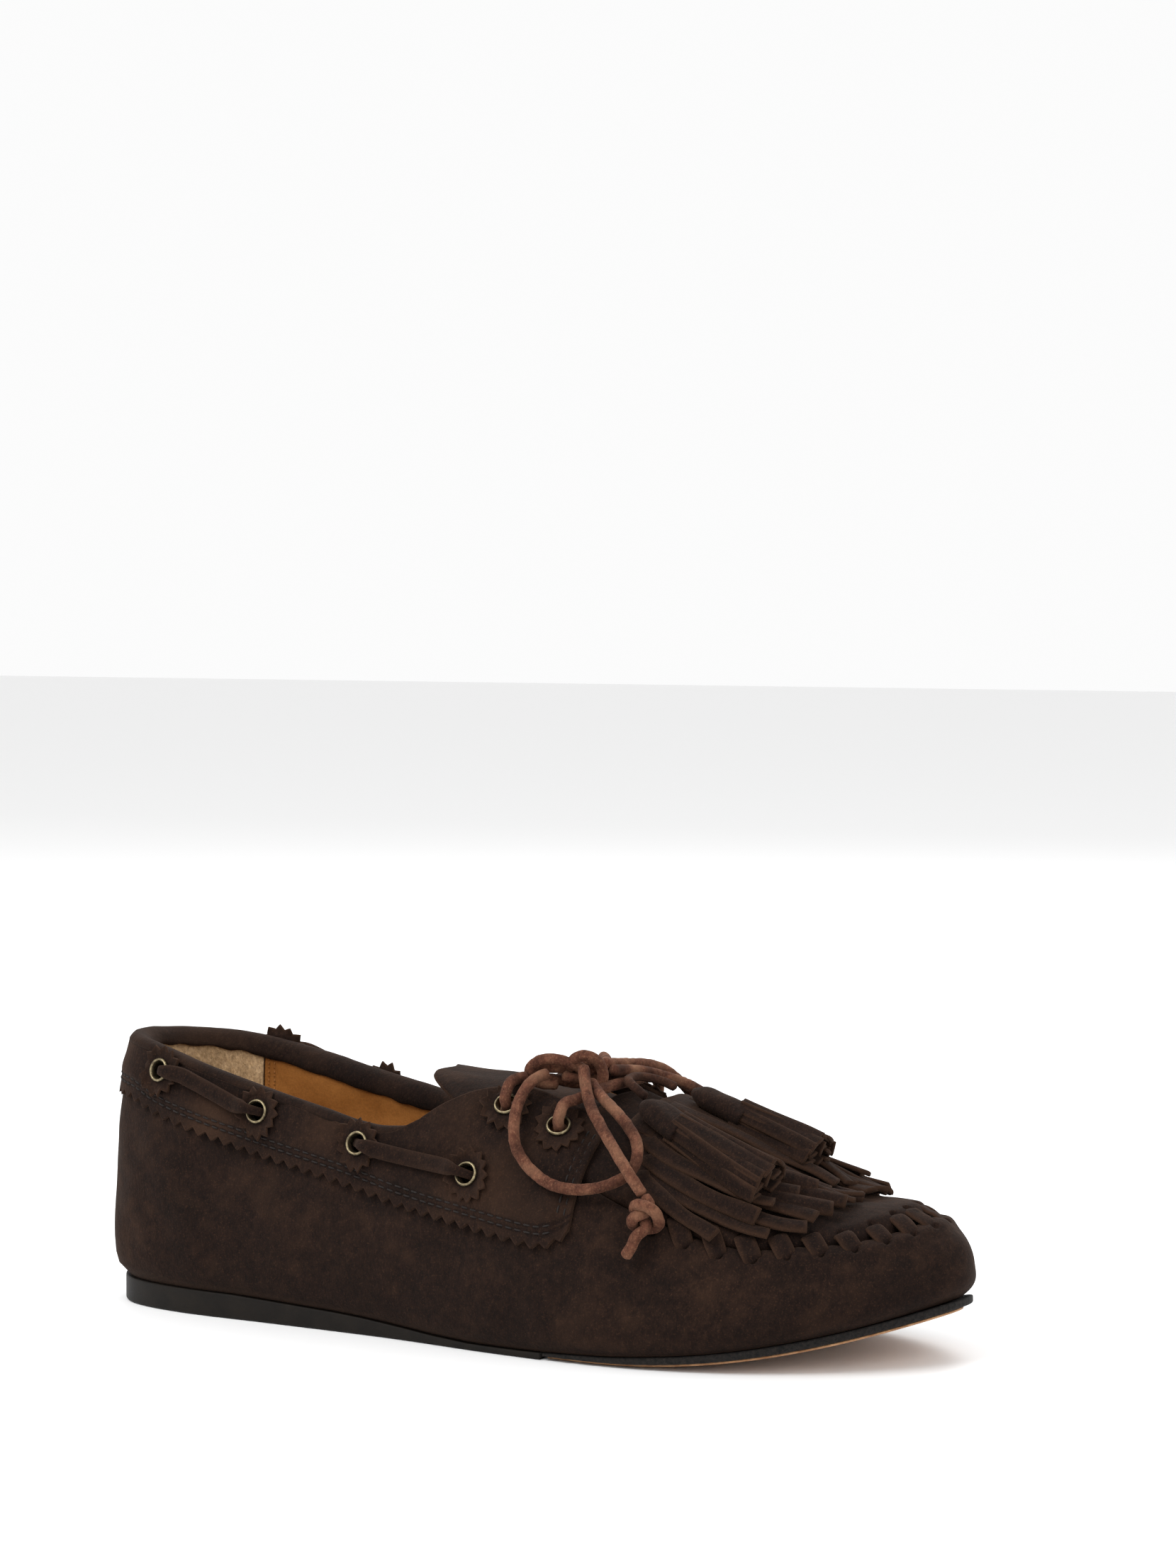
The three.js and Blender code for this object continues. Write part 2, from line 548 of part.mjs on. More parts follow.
// Down through a front eyelet: [millimetres up the slope from its middle, distance from the last].
const FRONT_DIVE = [[5, 7], [2.6, 7], [0.9, 6.3], [0.1, 4.8], [0, 3], [0, 0], [0, -3]];
const LACE_INSIDE = -6.3;
function dive([w, t]) {
  const slope = lastPoint(w, t + 1e-3).sub(lastPoint(w, t - 1e-3)).normalize();
  return FRONT_DIVE.map(([s, off]) => onLast(w, t, off).addScaledVector(slope, s).toArray());
}
function laceSide(side, knotEnd) {
  const [back, front] = FRONT_EYELETS.map(([u, t]) => [side * u, t]);
  const inside = [0.15, 0.5, 0.85].map((s) => onLast(mix(back[0], front[0], s), mix(back[1], front[1], s),
    LACE_INSIDE).toArray());
  return [knotEnd, ...dive(back), ...inside, ...dive(front).reverse()];
}
const CROSSING = [[29.6, -26.2, 65.2], [31, -20, 66.4], [31.6, -11, 67.2], [31.4, -1, 67.3],
  [30.2, 10, 67.1], [28.4, 19, 66.2], [26.4, 25, 64.9]];
const frontRoute = [...laceSide(-1, [13.6, -24.4, 70.2]), ...CROSSING,
  ...laceSide(1, [26.6, -8.4, 71.8]).reverse()];
const lastTurn = frontRoute.length - 1;
frontRoute.splice(lastTurn, 0, [12, 20.5, 71.4], [21, 6, 72.6]);
add('front_lace', tube(frontRoute, LACE_DIAMETER, 64), LACE);

const LATERAL_LOOP = [[20, -24.9, 71.5], [18.4, -30.1, 68.6], [17.7, -35.6, 63.8],
  [18.5, -39.3, 58.5], [20.9, -40.9, 53.9], [26.2, -42.1, 49], [32.1, -42.9, 45.8],
  [37.6, -42.9, 44.6], [42.2, -41.9, 44.8], [46.4, -39.6, 46.6], [49.7, -37.6, 48.1],
  [51.3, -34, 51.6], [49.8, -30.8, 55.2], [46.3, -29, 58.4], [41, -26.2, 62.5],
  [36.6, -22.4, 66.8], [33.2, -17.8, 70.2], [31.5, -14.6, 71.4]];
const LATERAL_TAIL = [[26.6, -22.4, 72.2], [32.8, -26.8, 69.1], [38.2, -32.1, 63.9],
  [42.5, -36.3, 58.4], [47.3, -38.8, 53.7], [52.3, -40.3, 49.5], [56, -41.1, 45.6],
  [57.6, -41.2, 43.4]];
const MEDIAL_LOOP = [[30.6, -8.4, 72.6], [29.6, 1, 72.6], [25.4, 11, 72.2], [20.4, 19, 70.6],
  [16.4, 26, 67.4], [13.8, 31.8, 63], [13.4, 35.4, 58], [15.1, 37, 53.6], [20.8, 38.7, 48.3],
  [26, 39.9, 45.4], [30.7, 40.6, 44], [35.6, 40.5, 44.1], [39.7, 39.2, 45.8], [42.5, 38, 47.5],
  [44.7, 35.2, 51.2], [44, 32.1, 55], [41.4, 29, 59], [38.6, 24, 63.2], [37, 17.6, 66.6],
  [36.4, 10, 68.6], [35.8, 3.6, 70.8], [34.4, -3.4, 71.8], [32.6, -9, 71.8]];
const MEDIAL_TAIL = [[27.8, -10.4, 74.8], [27.2, -2, 76.2], [25.6, 8, 76], [25.2, 17, 73.8],
  [27.4, 24, 69.6], [31, 29.6, 64.8], [35.1, 34.3, 59.4], [39.7, 37.9, 54.6], [44.1, 40.4, 50],
  [47.4, 41.8, 45.9], [48.8, 42.2, 43.6]];
add('lateral_loop', tube(LATERAL_LOOP, LACE_DIAMETER, 28), LACE);
add('lateral_tail', tube(LATERAL_TAIL, LACE_DIAMETER, 12), LACE);
add('medial_loop', tube(MEDIAL_LOOP, LACE_DIAMETER, 34), LACE);
add('medial_tail', tube(MEDIAL_TAIL, LACE_DIAMETER, 15), LACE);

function pebble(centre, radii, turn) {
  const geometry = new THREE.SphereGeometry(1, 12, 8);
  geometry.scale(...radii);
  geometry.rotateZ(turn);
  geometry.translate(...centre);
  return geometry;
}
add('bow_knot', toGeometry(toManifold(pebble([22, -17.5, 71], [9.5, 4.2, 3.2], 0.575))), LACE);
function endKnot(name, centre, cutEnd) {
  const ball = toManifold(pebble(centre, [4.4, 3.6, 4], 0.3));
  add(name, toGeometry(ball.add(toManifold(tube([centre, ...cutEnd], LACE_DIAMETER, 5)))), LACE);
}
endKnot('lateral_end_knot', [59.2, -42.6, 38.6], [[57, -44.5, 34.6], [54.4, -46.1, 28.6]]);
endKnot('medial_end_knot', [51, 43.6, 38.6], [[52.2, 45, 33.6], [53.2, 45.8, 27]]);

// The tassels hang on one short cord looped round the crossing lace, under the bow.
const TASSEL_CORD = [[42.4, -11.6, 64.8], [39, -11, 67], [35.6, -9, 68.6], [34.8, -5, 69],
  [35.6, -1, 68.8], [39.4, 1.6, 67.8], [43.8, 2.6, 66]];
add('tassel_cord', tube(TASSEL_CORD, 2.4, 14), LACE);

export default shoe;
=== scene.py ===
"""A suede moccasin on a pale floor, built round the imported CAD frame. Shapes are worked out in
millimetres on the same last as the CAD part and scaled to metres when a mesh is made."""
import math

import bpy
import numpy as np
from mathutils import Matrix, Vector


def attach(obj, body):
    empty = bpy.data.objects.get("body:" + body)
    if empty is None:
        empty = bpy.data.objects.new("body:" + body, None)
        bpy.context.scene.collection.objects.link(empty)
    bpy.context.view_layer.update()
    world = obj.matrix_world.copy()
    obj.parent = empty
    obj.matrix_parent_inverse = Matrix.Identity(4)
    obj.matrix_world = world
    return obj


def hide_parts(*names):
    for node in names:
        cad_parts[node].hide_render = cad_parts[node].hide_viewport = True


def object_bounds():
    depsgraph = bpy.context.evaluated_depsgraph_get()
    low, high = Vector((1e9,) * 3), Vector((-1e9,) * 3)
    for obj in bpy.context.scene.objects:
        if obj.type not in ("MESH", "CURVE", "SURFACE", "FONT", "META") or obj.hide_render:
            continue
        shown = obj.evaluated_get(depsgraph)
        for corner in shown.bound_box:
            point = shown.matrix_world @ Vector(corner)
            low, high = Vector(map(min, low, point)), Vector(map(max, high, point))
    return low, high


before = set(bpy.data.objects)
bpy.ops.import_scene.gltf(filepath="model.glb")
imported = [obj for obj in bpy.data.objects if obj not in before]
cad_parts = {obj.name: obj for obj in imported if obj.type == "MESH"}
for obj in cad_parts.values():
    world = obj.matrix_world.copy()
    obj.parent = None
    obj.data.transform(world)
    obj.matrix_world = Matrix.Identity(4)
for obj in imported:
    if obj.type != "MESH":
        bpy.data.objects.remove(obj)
cad_low, cad_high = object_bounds()
MM = 0.001

# ---------- camera ----------
CAMERA_PLACE = (0.5529, -0.9758, 0.2)
CAMERA_AZIMUTH = math.radians(28.7)
CAMERA_PITCH = math.radians(2.805)
SENSOR = 36
LENS = 96.7  # on the long side of the frame, which is 21.1 degrees high


def make_camera():
    data = bpy.data.cameras.new("camera")
    data.sensor_width = SENSOR
    data.lens = LENS
    camera = bpy.data.objects.new("camera", data)
    bpy.context.scene.collection.objects.link(camera)
    camera.location = CAMERA_PLACE
    level = math.cos(CAMERA_PITCH)
    back = Vector((math.sin(CAMERA_AZIMUTH) * level, -math.cos(CAMERA_AZIMUTH) * level,
                   math.sin(CAMERA_PITCH)))
    camera.rotation_mode = "QUATERNION"
    camera.rotation_quaternion = (-back).to_track_quat("-Z", "Y")
    bpy.context.scene.camera = camera


make_camera()

# ---------- driving dimensions, in millimetres ----------
# The last, the sole, the eyelets and the collar are the part's own. The topline, the apron's seam
# gap and the tongue's outline are trimmed from the part's plain ones.
HEEL = [-124, 0]
TOE = [123.5, 7]
LATERAL_EDGE = [[-121, -13], [-111, -23.5], [-91, -29.5], [-60, -32], [-22, -35.5],
                [15, -41.5], [48, -44], [80, -38.5], [104, -25.5], [118, -9]]
MEDIAL_EDGE = [[-121, 13], [-111, 23], [-91, 28.5], [-60, 28], [-25, 29],
               [10, 35.5], [40, 41.5], [70, 42.5], [97, 37], [115, 26]]
RIDGE_X = [-92, -88, -82, -70, -46, -14, 18, 48, 71, 84, 91, 94]
RIDGE_Y = [0, 0, 0, 0, 0, 0, 1, 3, 5, 6, 6.8, 7]
RIDGE_Z = [100, 99, 98, 95, 87, 77.5, 69.5, 58, 48, 43, 41, 40.5]
BLUNTNESS = [2.7, 2.7, 2.8, 2.9, 2.85, 2.7, 2.55, 2.35, 2.2, 2.15, 2.1, 2.1]
OVERHANG = 3  # how far the upper swells past the sole
TUCK = 4.5  # how far its lower edge turns back in
TUCK_HEIGHT = 10
SOLE_PROFILE = [[-130, 8.5], [-75, 8], [-30, 6], [5, 3.6], [30, 3.2], [200, 3.2]]
SPRING_START = 45  # the toe lifts off the ground from here on
TOE_SPRING = 13
SPRING_RUN = TOE[0] - SPRING_START
SEAT_GAP = 0.4  # between the sole and the upper
GAP = 0.3  # between pieces that touch
# How far the upper comes down over the edge of the sole, along the shoe.
UPPER_DROP = [[-130, 1.5], [-40, 1.5], [-8, 2.2], [20, 1.8], [60, 0.5], [90, 0.2]]

TOPLINE_Z = [[0, 71.8], [0.12, 71.8], [0.19, 71], [0.25, 68.8], [0.31, 64.6], [0.36, 60.4],
             [0.4, 57], [0.43, 54.2], [0.455, 53.6], [0.475, 57.4]]
# How much lower the topline runs on the medial side.
MEDIAL_DIP = [[0, 0.5], [0.08, 1.0], [0.16, 1.7], [0.24, 1.7], [0.32, 1.2], [0.4, 0.6], [0.475, 0]]
FACING_START = 0.475
FACING_T = [[0.475, 0.47], [0.492, 0.56], [0.508, 0.63], [0.525, 0.69], [0.55, 0.72],
            [0.61, 0.71]]
COLLAR_EDGE_Z = [[0, 58.5], [0.186, 57.6], [0.24, 54.3], [0.296, 50.3], [0.367, 44.8],
                 [0.425, 40], [0.467, 36], [0.528, 32], [0.578, 29.2], [0.592, 30], [0.61, 34]]
COLLAR_FRONT = 0.605
VAMP_TOP_T = [[0.45, 0.4], [0.5, 0.42], [0.55, 0.45], [0.6, 0.47]]
APRON_START = 0.6  # from here on the vamp ends at the apron's seam
SEAM_T = [[0.58, 0.48], [0.6, 0.47], [0.66, 0.43], [0.7, 0.405], [0.74, 0.4], [0.77, 0.42],
          [0.805, 0.44], [0.84, 0.46], [0.87, 0.495], [0.9, 0.53], [0.93, 0.56],
          [0.965, 0.585], [1, 0.595]]
SEAM_GAP = 0.004  # half the gap at the apron's seam, in t
TONGUE_SIDE_T = [[0.441, 0.62], [0.462, 0.58], [0.48, 0.53], [0.5, 0.57], [0.52, 0.672], [0.62, 0.68]]
SIDE_EYELETS = [[0.248, 0.359], [0.355, 0.328], [0.435, 0.332], [0.522, 0.347]]
FRONT_EYELETS = [[0.533, 0.602], [0.575, 0.598]]


# ---------- curves ----------
def linear(pairs, x):
    pairs = np.array(pairs, float)
    return np.interp(x, pairs[:, 0], pairs[:, 1])


def smooth(pairs, x):
    """A smooth curve through [x, y] pairs at uneven steps."""
    pairs = np.array(pairs, float)
    xs, ys = pairs[:, 0], pairs[:, 1]
    slopes = np.empty(len(xs))
    slopes[1:-1] = (ys[2:] - ys[:-2]) / (xs[2:] - xs[:-2])
    slopes[0] = (ys[1] - ys[0]) / (xs[1] - xs[0])
    slopes[-1] = (ys[-1] - ys[-2]) / (xs[-1] - xs[-2])
    x = np.asarray(x, float)
    i = np.clip(np.searchsorted(xs, x, side="left") - 1, 0, len(xs) - 2)
    h = xs[i + 1] - xs[i]
    s = np.clip((x - xs[i]) / h, 0, 1)
    return ((2 * s**3 - 3 * s**2 + 1) * ys[i] + (s**3 - 2 * s**2 + s) * h * slopes[i]
            + (3 * s**2 - 2 * s**3) * ys[i + 1] + (s**3 - s**2) * h * slopes[i + 1])


def catmull(padded, place):
    """A Catmull-Rom curve through a list with one extra entry before and two after."""
    i = np.floor(place).astype(int)
    i = np.clip(i, 0, len(padded) - 4)
    s = place - i
    if padded.ndim == 2:
        s = s[..., None]
    a, b, c, d = padded[i], padded[i + 1], padded[i + 2], padded[i + 3]
    return 0.5 * (2 * b + (c - a) * s + (2 * a - 5 * b + 4 * c - d) * s**2
                  + (3 * b - a - 3 * c + d) * s**3)


def step_up(x, low, high):
    s = np.clip((np.asarray(x, float) - low) / (high - low), 0, 1)
    return s * s * (3 - 2 * s)


def mix(a, b, s):
    return a + (b - a) * s


def unit(v):
    return v / np.maximum(np.linalg.norm(v, axis=-1, keepdims=True), 1e-12)


# ---------- the last: w runs round the shoe, t runs up from the sole edge to the ridge ----------
LOOP = np.array([TOE] + LATERAL_EDGE[::-1] + [HEEL] + MEDIAL_EDGE, float)
LOOP = np.vstack([LOOP[-1:], LOOP, LOOP[:2]])
SPANS = len(LATERAL_EDGE) + 1  # on each side, from the heel to the toe


def wrap(w):
    """w brought back between -1 and 1: 0 is the heel, 1 the toe, below 0 the lateral side."""
    return (np.asarray(w, float) + 1) % 2 - 1


def outline(w):
    """The sole edge's [x, y] at w."""
    return catmull(LOOP, (wrap(w) + 1) * SPANS)


def along(values, w):
    """A value given at the heel, at each outline point and at the toe, read at w."""
    v = np.array(values, float)
    return catmull(np.concatenate([v[1:2], v, v[-2:-1]]), np.abs(wrap(w)) * SPANS)


def lift(x):
    """How high the toe's spring lifts the sole at x."""
    return TOE_SPRING * (np.maximum(0, x - SPRING_START) / SPRING_RUN) ** 2


def sole_top(x):
    return linear(SOLE_PROFILE, x) + lift(x)


def sole_edge_top(x):
    """The top of the sole's edge, where the upper comes down over it."""
    return sole_top(x) - linear(UPPER_DROP, x)


def last_point(w, t):
    """The point of the last at w and t."""
    w, t = np.broadcast_arrays(np.asarray(w, float), np.asarray(t, float))
    edge = outline(w)
    crown = np.stack([along(RIDGE_X, w), along(RIDGE_Y, w)], -1)
    floor = sole_top(edge[..., 0]) + SEAT_GAP
    top = along(RIDGE_Z, w)
    power = 2 / along(BLUNTNESS, w)
    reach = np.linalg.norm(crown - edge, axis=-1)
    angle = np.clip(t, 0, 1) * math.pi / 2
    z = floor + (top - floor) * np.sin(angle) ** power
    travel = ((reach + OVERHANG) * (1 - np.maximum(0, np.cos(angle)) ** power) - OVERHANG
              + TUCK * np.maximum(0, 1 - (z - floor) / TUCK_HEIGHT) ** 2)
    flat = edge + unit(crown - edge) * travel[..., None]
    return np.concatenate([flat, z[..., None]], -1)


def side_normal(w, t):
    step = 2e-3
    s = np.clip(t, step, 1 - step)
    around = last_point(w + step, s) - last_point(w - step, s)
    up = last_point(w, s + step) - last_point(w, s - step)
    return unit(np.cross(up, around))


def last_normal(w, t):
    """The normal, evened out between the two sides as they meet at the ridge."""
    w, t = np.broadcast_arrays(np.asarray(w, float), np.asarray(t, float))
    here = side_normal(w, t)
    share = step_up(t, 0.9, 1)[..., None] / 2
    return unit(mix(here, side_normal(-w, t), share))


def on_last(w, t, off):
    """The point that far off the last's surface."""
    w, t, off = np.broadcast_arrays(*(np.asarray(v, float) for v in (w, t, off)))
    return last_point(w, t) + last_normal(w, t) * off[..., None]


def height_to_t(w, z):
    """The t at which the last reaches the height z."""
    floor = sole_top(outline(w)[..., 0]) + SEAT_GAP
    share = np.clip((z - floor) / (along(RIDGE_Z, w) - floor), 0, 1)
    return np.arcsin(np.minimum(1, share ** (along(BLUNTNESS, w) / 2))) / (math.pi / 2)


def across(u, s):
    """[w, t] of a place given by u, along the shoe, and s, across it from the ridge."""
    u, s = np.broadcast_arrays(np.asarray(u, float), np.asarray(s, float))
    return np.where(s < 0, -u, u), 1 - np.abs(s)


def topline_z(w):
    u = np.abs(w)
    return smooth(TOPLINE_Z, u) - smooth(MEDIAL_DIP, u) * step_up(w, -0.02, 0.06)


def topline_t(w):
    return height_to_t(w, topline_z(w))


def collar_top_t(w):
    u = np.abs(w)
    return np.where(u < FACING_START, topline_t(w), smooth(FACING_T, u))


def collar_edge_t(w):
    return height_to_t(w, smooth(COLLAR_EDGE_Z, np.abs(w)))


def seam_t(w):
    return smooth(SEAM_T, np.abs(wrap(w)))


def vamp_top_t(w):
    """The vamp's upper edge: under the topline, then under the facing, then along the apron."""
    u = np.abs(wrap(w))
    facing = smooth(VAMP_TOP_T, u)
    seam = seam_t(w) - SEAM_GAP
    hidden = mix(topline_t(wrap(w)) - 0.004, facing, step_up(u, 0.43, 0.46))
    return np.where(u < APRON_START, hidden, seam)


def millimetres_per_t(w, t):
    return np.linalg.norm(last_point(w, t + 1e-3) - last_point(w, t - 1e-3), axis=-1) / 2e-3


def millimetres_per_w(w, t):
    return np.linalg.norm(last_point(w + 1e-3, t) - last_point(w - 1e-3, t), axis=-1) / 2e-3


def run_along(path):
    """The distance run along a path at each of its points."""
    return np.concatenate([[0], np.cumsum(np.linalg.norm(np.diff(path, axis=0), axis=1))])


def ripple(points, size, seed, waves=14):
    """Gentle uneven waves of about that size, from -1 to 1, the same on every run."""
    draw = np.random.default_rng(seed)
    directions = unit(draw.normal(size=(waves, 3)))
    lengths = size * draw.uniform(0.7, 1.5, waves)
    phases = draw.uniform(0, 2 * math.pi, waves)
    total = np.zeros(points.shape[:-1])
    for direction, length, phase in zip(directions, lengths, phases):
        total += np.sin(points @ direction * (2 * math.pi / length) + phase)
    return total / math.sqrt(waves)


def nearness(points, centres, radius):
    """1 at the nearest centre, falling smoothly to 0 at the radius."""
    nearest = np.full(points.shape[:-1], 1e9)
    for centre in centres:
        nearest = np.minimum(nearest, np.linalg.norm(points - centre, axis=-1))
    return step_up(-nearest, -radius, 0)


# ---------- meshes ----------
def link_mesh(name, points, faces, tone=None):
    """A smooth-shaded mesh from millimetres. tone is the wear and painted shade on each point: 1 rubbed
    lighter, -1 darker, which is painted shade in grooves, holes and creases along with some random darker
    tone.
    """
    mesh = bpy.data.meshes.new(name)
    mesh.from_pydata((np.asarray(points) * MM).tolist(), [], [list(map(int, f)) for f in faces])
    mesh.validate()
    mesh.update()
    mesh.polygons.foreach_set("use_smooth", [True] * len(mesh.polygons))
    # The tone attribute carries rubbed wear on its light side and painted shade on its dark side.
    wear_and_shade = mesh.attributes.new("tone", "FLOAT", "POINT")
    wear_and_shade.data.foreach_set("value", np.zeros(len(points)) if tone is None else np.asarray(tone, float))
    piece = bpy.data.objects.new(name, mesh)
    bpy.context.scene.collection.objects.link(piece)
    return piece


def facing_out(points, faces):
    a, b, c = (points[faces[:, k]] for k in range(3))
    volume = np.einsum("ij,ij->", a, np.cross(b, c))
    return faces if volume > 0 else faces[:, ::-1]


WELD_SHIFT = 0.00037  # keeps round numbers clear of the rounding that finds points that meet


def sheet(name, front, back, keep=None, bulge=0.3, tone=None, rim=0.9):
    """A closed piece between two grids of points. Points that meet are welded, and every open edge
    gets a rounded wall. keep marks the cells that stay."""
    columns, rows = front.shape[:2]
    keys = np.round(front.reshape(-1, 3) + WELD_SHIFT, 3)
    first, ids = np.unique(keys, axis=0, return_index=True, return_inverse=True)[1:]
    ids = ids.reshape(columns, rows)
    top = front.reshape(-1, 3)[first]
    under = back.reshape(-1, 3)[first]
    quads = np.stack([ids[:-1, :-1], ids[1:, :-1], ids[1:, 1:], ids[:-1, 1:]], -1)
    quads = quads.reshape(-1, 4) if keep is None else quads[keep]
    n = len(top)
    ahead = np.concatenate([quads[:, [k, (k + 1) % 4]] for k in range(4)])
    real = ahead[:, 0] != ahead[:, 1]
    ahead = ahead[real]
    code = ahead[:, 0] * n + ahead[:, 1]
    reverse = ahead[:, 1] * n + ahead[:, 0]
    rims = ahead[~np.isin(code, reverse)]
    outward = np.zeros((n, 3))
    thick = unit(top - under)
    direction = np.cross(top[rims[:, 1]] - top[rims[:, 0]], thick[rims[:, 0]])
    np.add.at(outward, rims[:, 0], unit(direction))
    np.add.at(outward, rims[:, 1], unit(direction))
    middle = (top + under) / 2 + unit(outward) * bulge
    on_rim = np.unique(rims)
    slot = np.zeros(n, int)
    slot[on_rim] = np.arange(len(on_rim)) + 2 * n
    a, b = rims[:, 0], rims[:, 1]
    walls = np.concatenate([np.stack([b, a, slot[a], slot[b]], -1),
                            np.stack([slot[b], slot[a], a + n, b + n], -1)])
    faces = np.concatenate([quads, quads[:, ::-1] + n, walls])
    points = np.concatenate([top, under, middle[on_rim]])
    used = np.unique(faces)
    renumber = np.zeros(len(points), int)
    renumber[used] = np.arange(len(used))
    shade = np.zeros(n) if tone is None else tone.reshape(-1)[first]
    shade[on_rim] = np.maximum(shade[on_rim], rim * 0.6)
    shade = np.concatenate([shade, shade, np.full(len(on_rim), rim)])[used]
    points = points[used]
    faces = facing_out(points, renumber[faces])
    clean = [list(dict.fromkeys(f)) for f in faces.tolist()]
    return link_mesh(name, points, [f for f in clean if len(f) > 2], shade)


def loft_faces(rings, start=0):
    """Quads along a row of closed rings, with a fan closing each end. Two extra end points follow."""
    count, sides = rings.shape[:2]
    i, k = np.meshgrid(np.arange(count - 1), np.arange(sides), indexing="ij")
    a = i * sides + k
    b = i * sides + (k + 1) % sides
    quads = np.stack([a, b, b + sides, a + sides], -1).reshape(-1, 4) + start
    tips = start + count * sides
    k = np.arange(sides)
    first = np.stack([(k + 1) % sides + start, k + start, np.full(sides, tips)], -1)
    end = start + (count - 1) * sides
    last = np.stack([k + end, (k + 1) % sides + end, np.full(sides, tips + 1)], -1)
    return quads.tolist() + first.tolist() + last.tolist()


def loft_points(rings):
    return np.concatenate([rings.reshape(-1, 3), rings[:1].mean(1), rings[-1:].mean(1)])


def lofts(name, bodies, tones=None):
    """One piece made of several lofted bodies."""
    points, faces, shades, start = [], [], [], 0
    for number, rings in enumerate(bodies):
        body = loft_points(rings)
        found = loft_faces(rings, start)
        halves = [f[:3] for f in found] + [[f[0], f[2], f[3]] for f in found if len(f) == 4]
        a, b, c = body[(np.array(halves) - start).T]
        volume = np.einsum("ij,ij->", a, np.cross(b, c))
        faces += found if volume > 0 else [f[::-1] for f in found]
        points.append(body)
        shades.append(np.zeros(len(body)) if tones is None else tones[number])
        start += len(body)
    return link_mesh(name, np.concatenate(points), faces, np.concatenate(shades))


def even_path(route, spacing):
    """Even points along a centripetal Catmull-Rom curve through the route."""
    p = np.array(route, float)
    p = np.vstack([2 * p[:1] - p[1:2], p, 2 * p[-1:] - p[-2:-1]])
    fine = []
    for i in range(1, len(p) - 2):
        knots = [0.0]
        for a, b in zip(p[i - 1:i + 2], p[i:i + 3]):
            knots.append(knots[-1] + max(np.linalg.norm(b - a), 1e-6) ** 0.5)
        u = np.linspace(knots[1], knots[2], 24, endpoint=False)[:, None]
        q = [p[i - 1 + k] for k in range(4)]
        first = [mix(q[k], q[k + 1], (u - knots[k]) / (knots[k + 1] - knots[k])) for k in range(3)]
        second = [mix(first[k], first[k + 1], (u - knots[k]) / (knots[k + 2] - knots[k]))
                  for k in range(2)]
        fine.append(mix(second[0], second[1], (u - knots[1]) / (knots[2] - knots[1])))
    fine = np.vstack(fine + [p[-2:-1]])
    run = run_along(fine)
    count = max(2, int(round(run[-1] / spacing)) + 1)
    marks = np.linspace(0, run[-1], count)
    return np.stack([np.interp(marks, run, fine[:, k]) for k in range(3)], -1)


def tangents(path):
    return unit(np.gradient(path, axis=0))


def carried_frames(path, start):
    """Two directions across a path that turn with it as little as they can."""
    run = tangents(path)
    side = [unit(start - run[0] * (start @ run[0]))]
    for direction in run[1:]:
        side.append(unit(side[-1] - direction * (side[-1] @ direction)))
    side = np.array(side)
    return side, np.cross(run, side)


def tube_rings(path, diameter, seed=1, sides=16, grain=0.035):
    """Rings round a path with rounded ends, a little uneven like cut lace."""
    side, up = carried_frames(path, np.array([0.31, 0.2, 0.93]))
    angle = np.arange(sides) / sides * 2 * math.pi
    radius = diameter / 2 * rounded_ends(path, diameter)
    rings = path[:, None] + radius[:, None, None] * (
        side[:, None] * np.cos(angle)[None, :, None] + up[:, None] * np.sin(angle)[None, :, None])
    swell = 1 + grain * ripple(rings, 2.2, seed)
    return path[:, None] + (rings - path[:, None]) * swell[..., None]


def rounded_ends(path, diameter):
    """How the radius falls off at the two ends of a tube."""
    run = run_along(path)
    left = np.minimum(run, run[-1] - run) / (diameter * 0.28)
    return np.sqrt(np.clip(1 - (1 - np.clip(left, 0, 1)) ** 2, 0.12, 1))


# A strip's section, in halves of its width and of its thickness.
STRIP_SECTION = [[-1, 0], [-0.96, 0.62], [-0.8, 0.95], [-0.35, 1], [0.35, 1], [0.8, 0.95],
                 [0.96, 0.62], [1, 0], [0.96, -0.62], [0.8, -0.95], [-0.8, -0.95], [-0.96, -0.62]]


def strip_rings(path, up, width, thickness, cup=0.0):
    """Rings of a flat strip. up is the way its face looks, cup how far its edges bend down."""
    run = tangents(path)
    flat = unit(np.cross(run, up))
    over = np.cross(flat, run)
    section = np.array(STRIP_SECTION)
    width = np.broadcast_to(np.asarray(width, float), len(path))
    thickness = np.broadcast_to(np.asarray(thickness, float), len(path))
    cup = np.broadcast_to(np.asarray(cup, float), len(path))
    out = section[None, :, 0] * width[:, None] / 2
    rise = section[None, :, 1] * thickness[:, None] / 2 - cup[:, None] * section[None, :, 0] ** 2
    return path[:, None] + flat[:, None] * out[..., None] + over[:, None] * rise[..., None]


def strip_tones(count, ends=0.8):
    """Wear on a strip: its cut edges and its two ends are rubbed lighter."""
    section = np.array(STRIP_SECTION)
    edge = np.where(np.abs(section[:, 0]) > 0.9, 0.75, np.where(np.abs(section[:, 0]) > 0.7, 0.35, 0))
    tone = np.tile(edge, (count, 1))
    tone[-1] = np.maximum(tone[-1], ends)
    return np.concatenate([tone.ravel(), [ends, ends]])


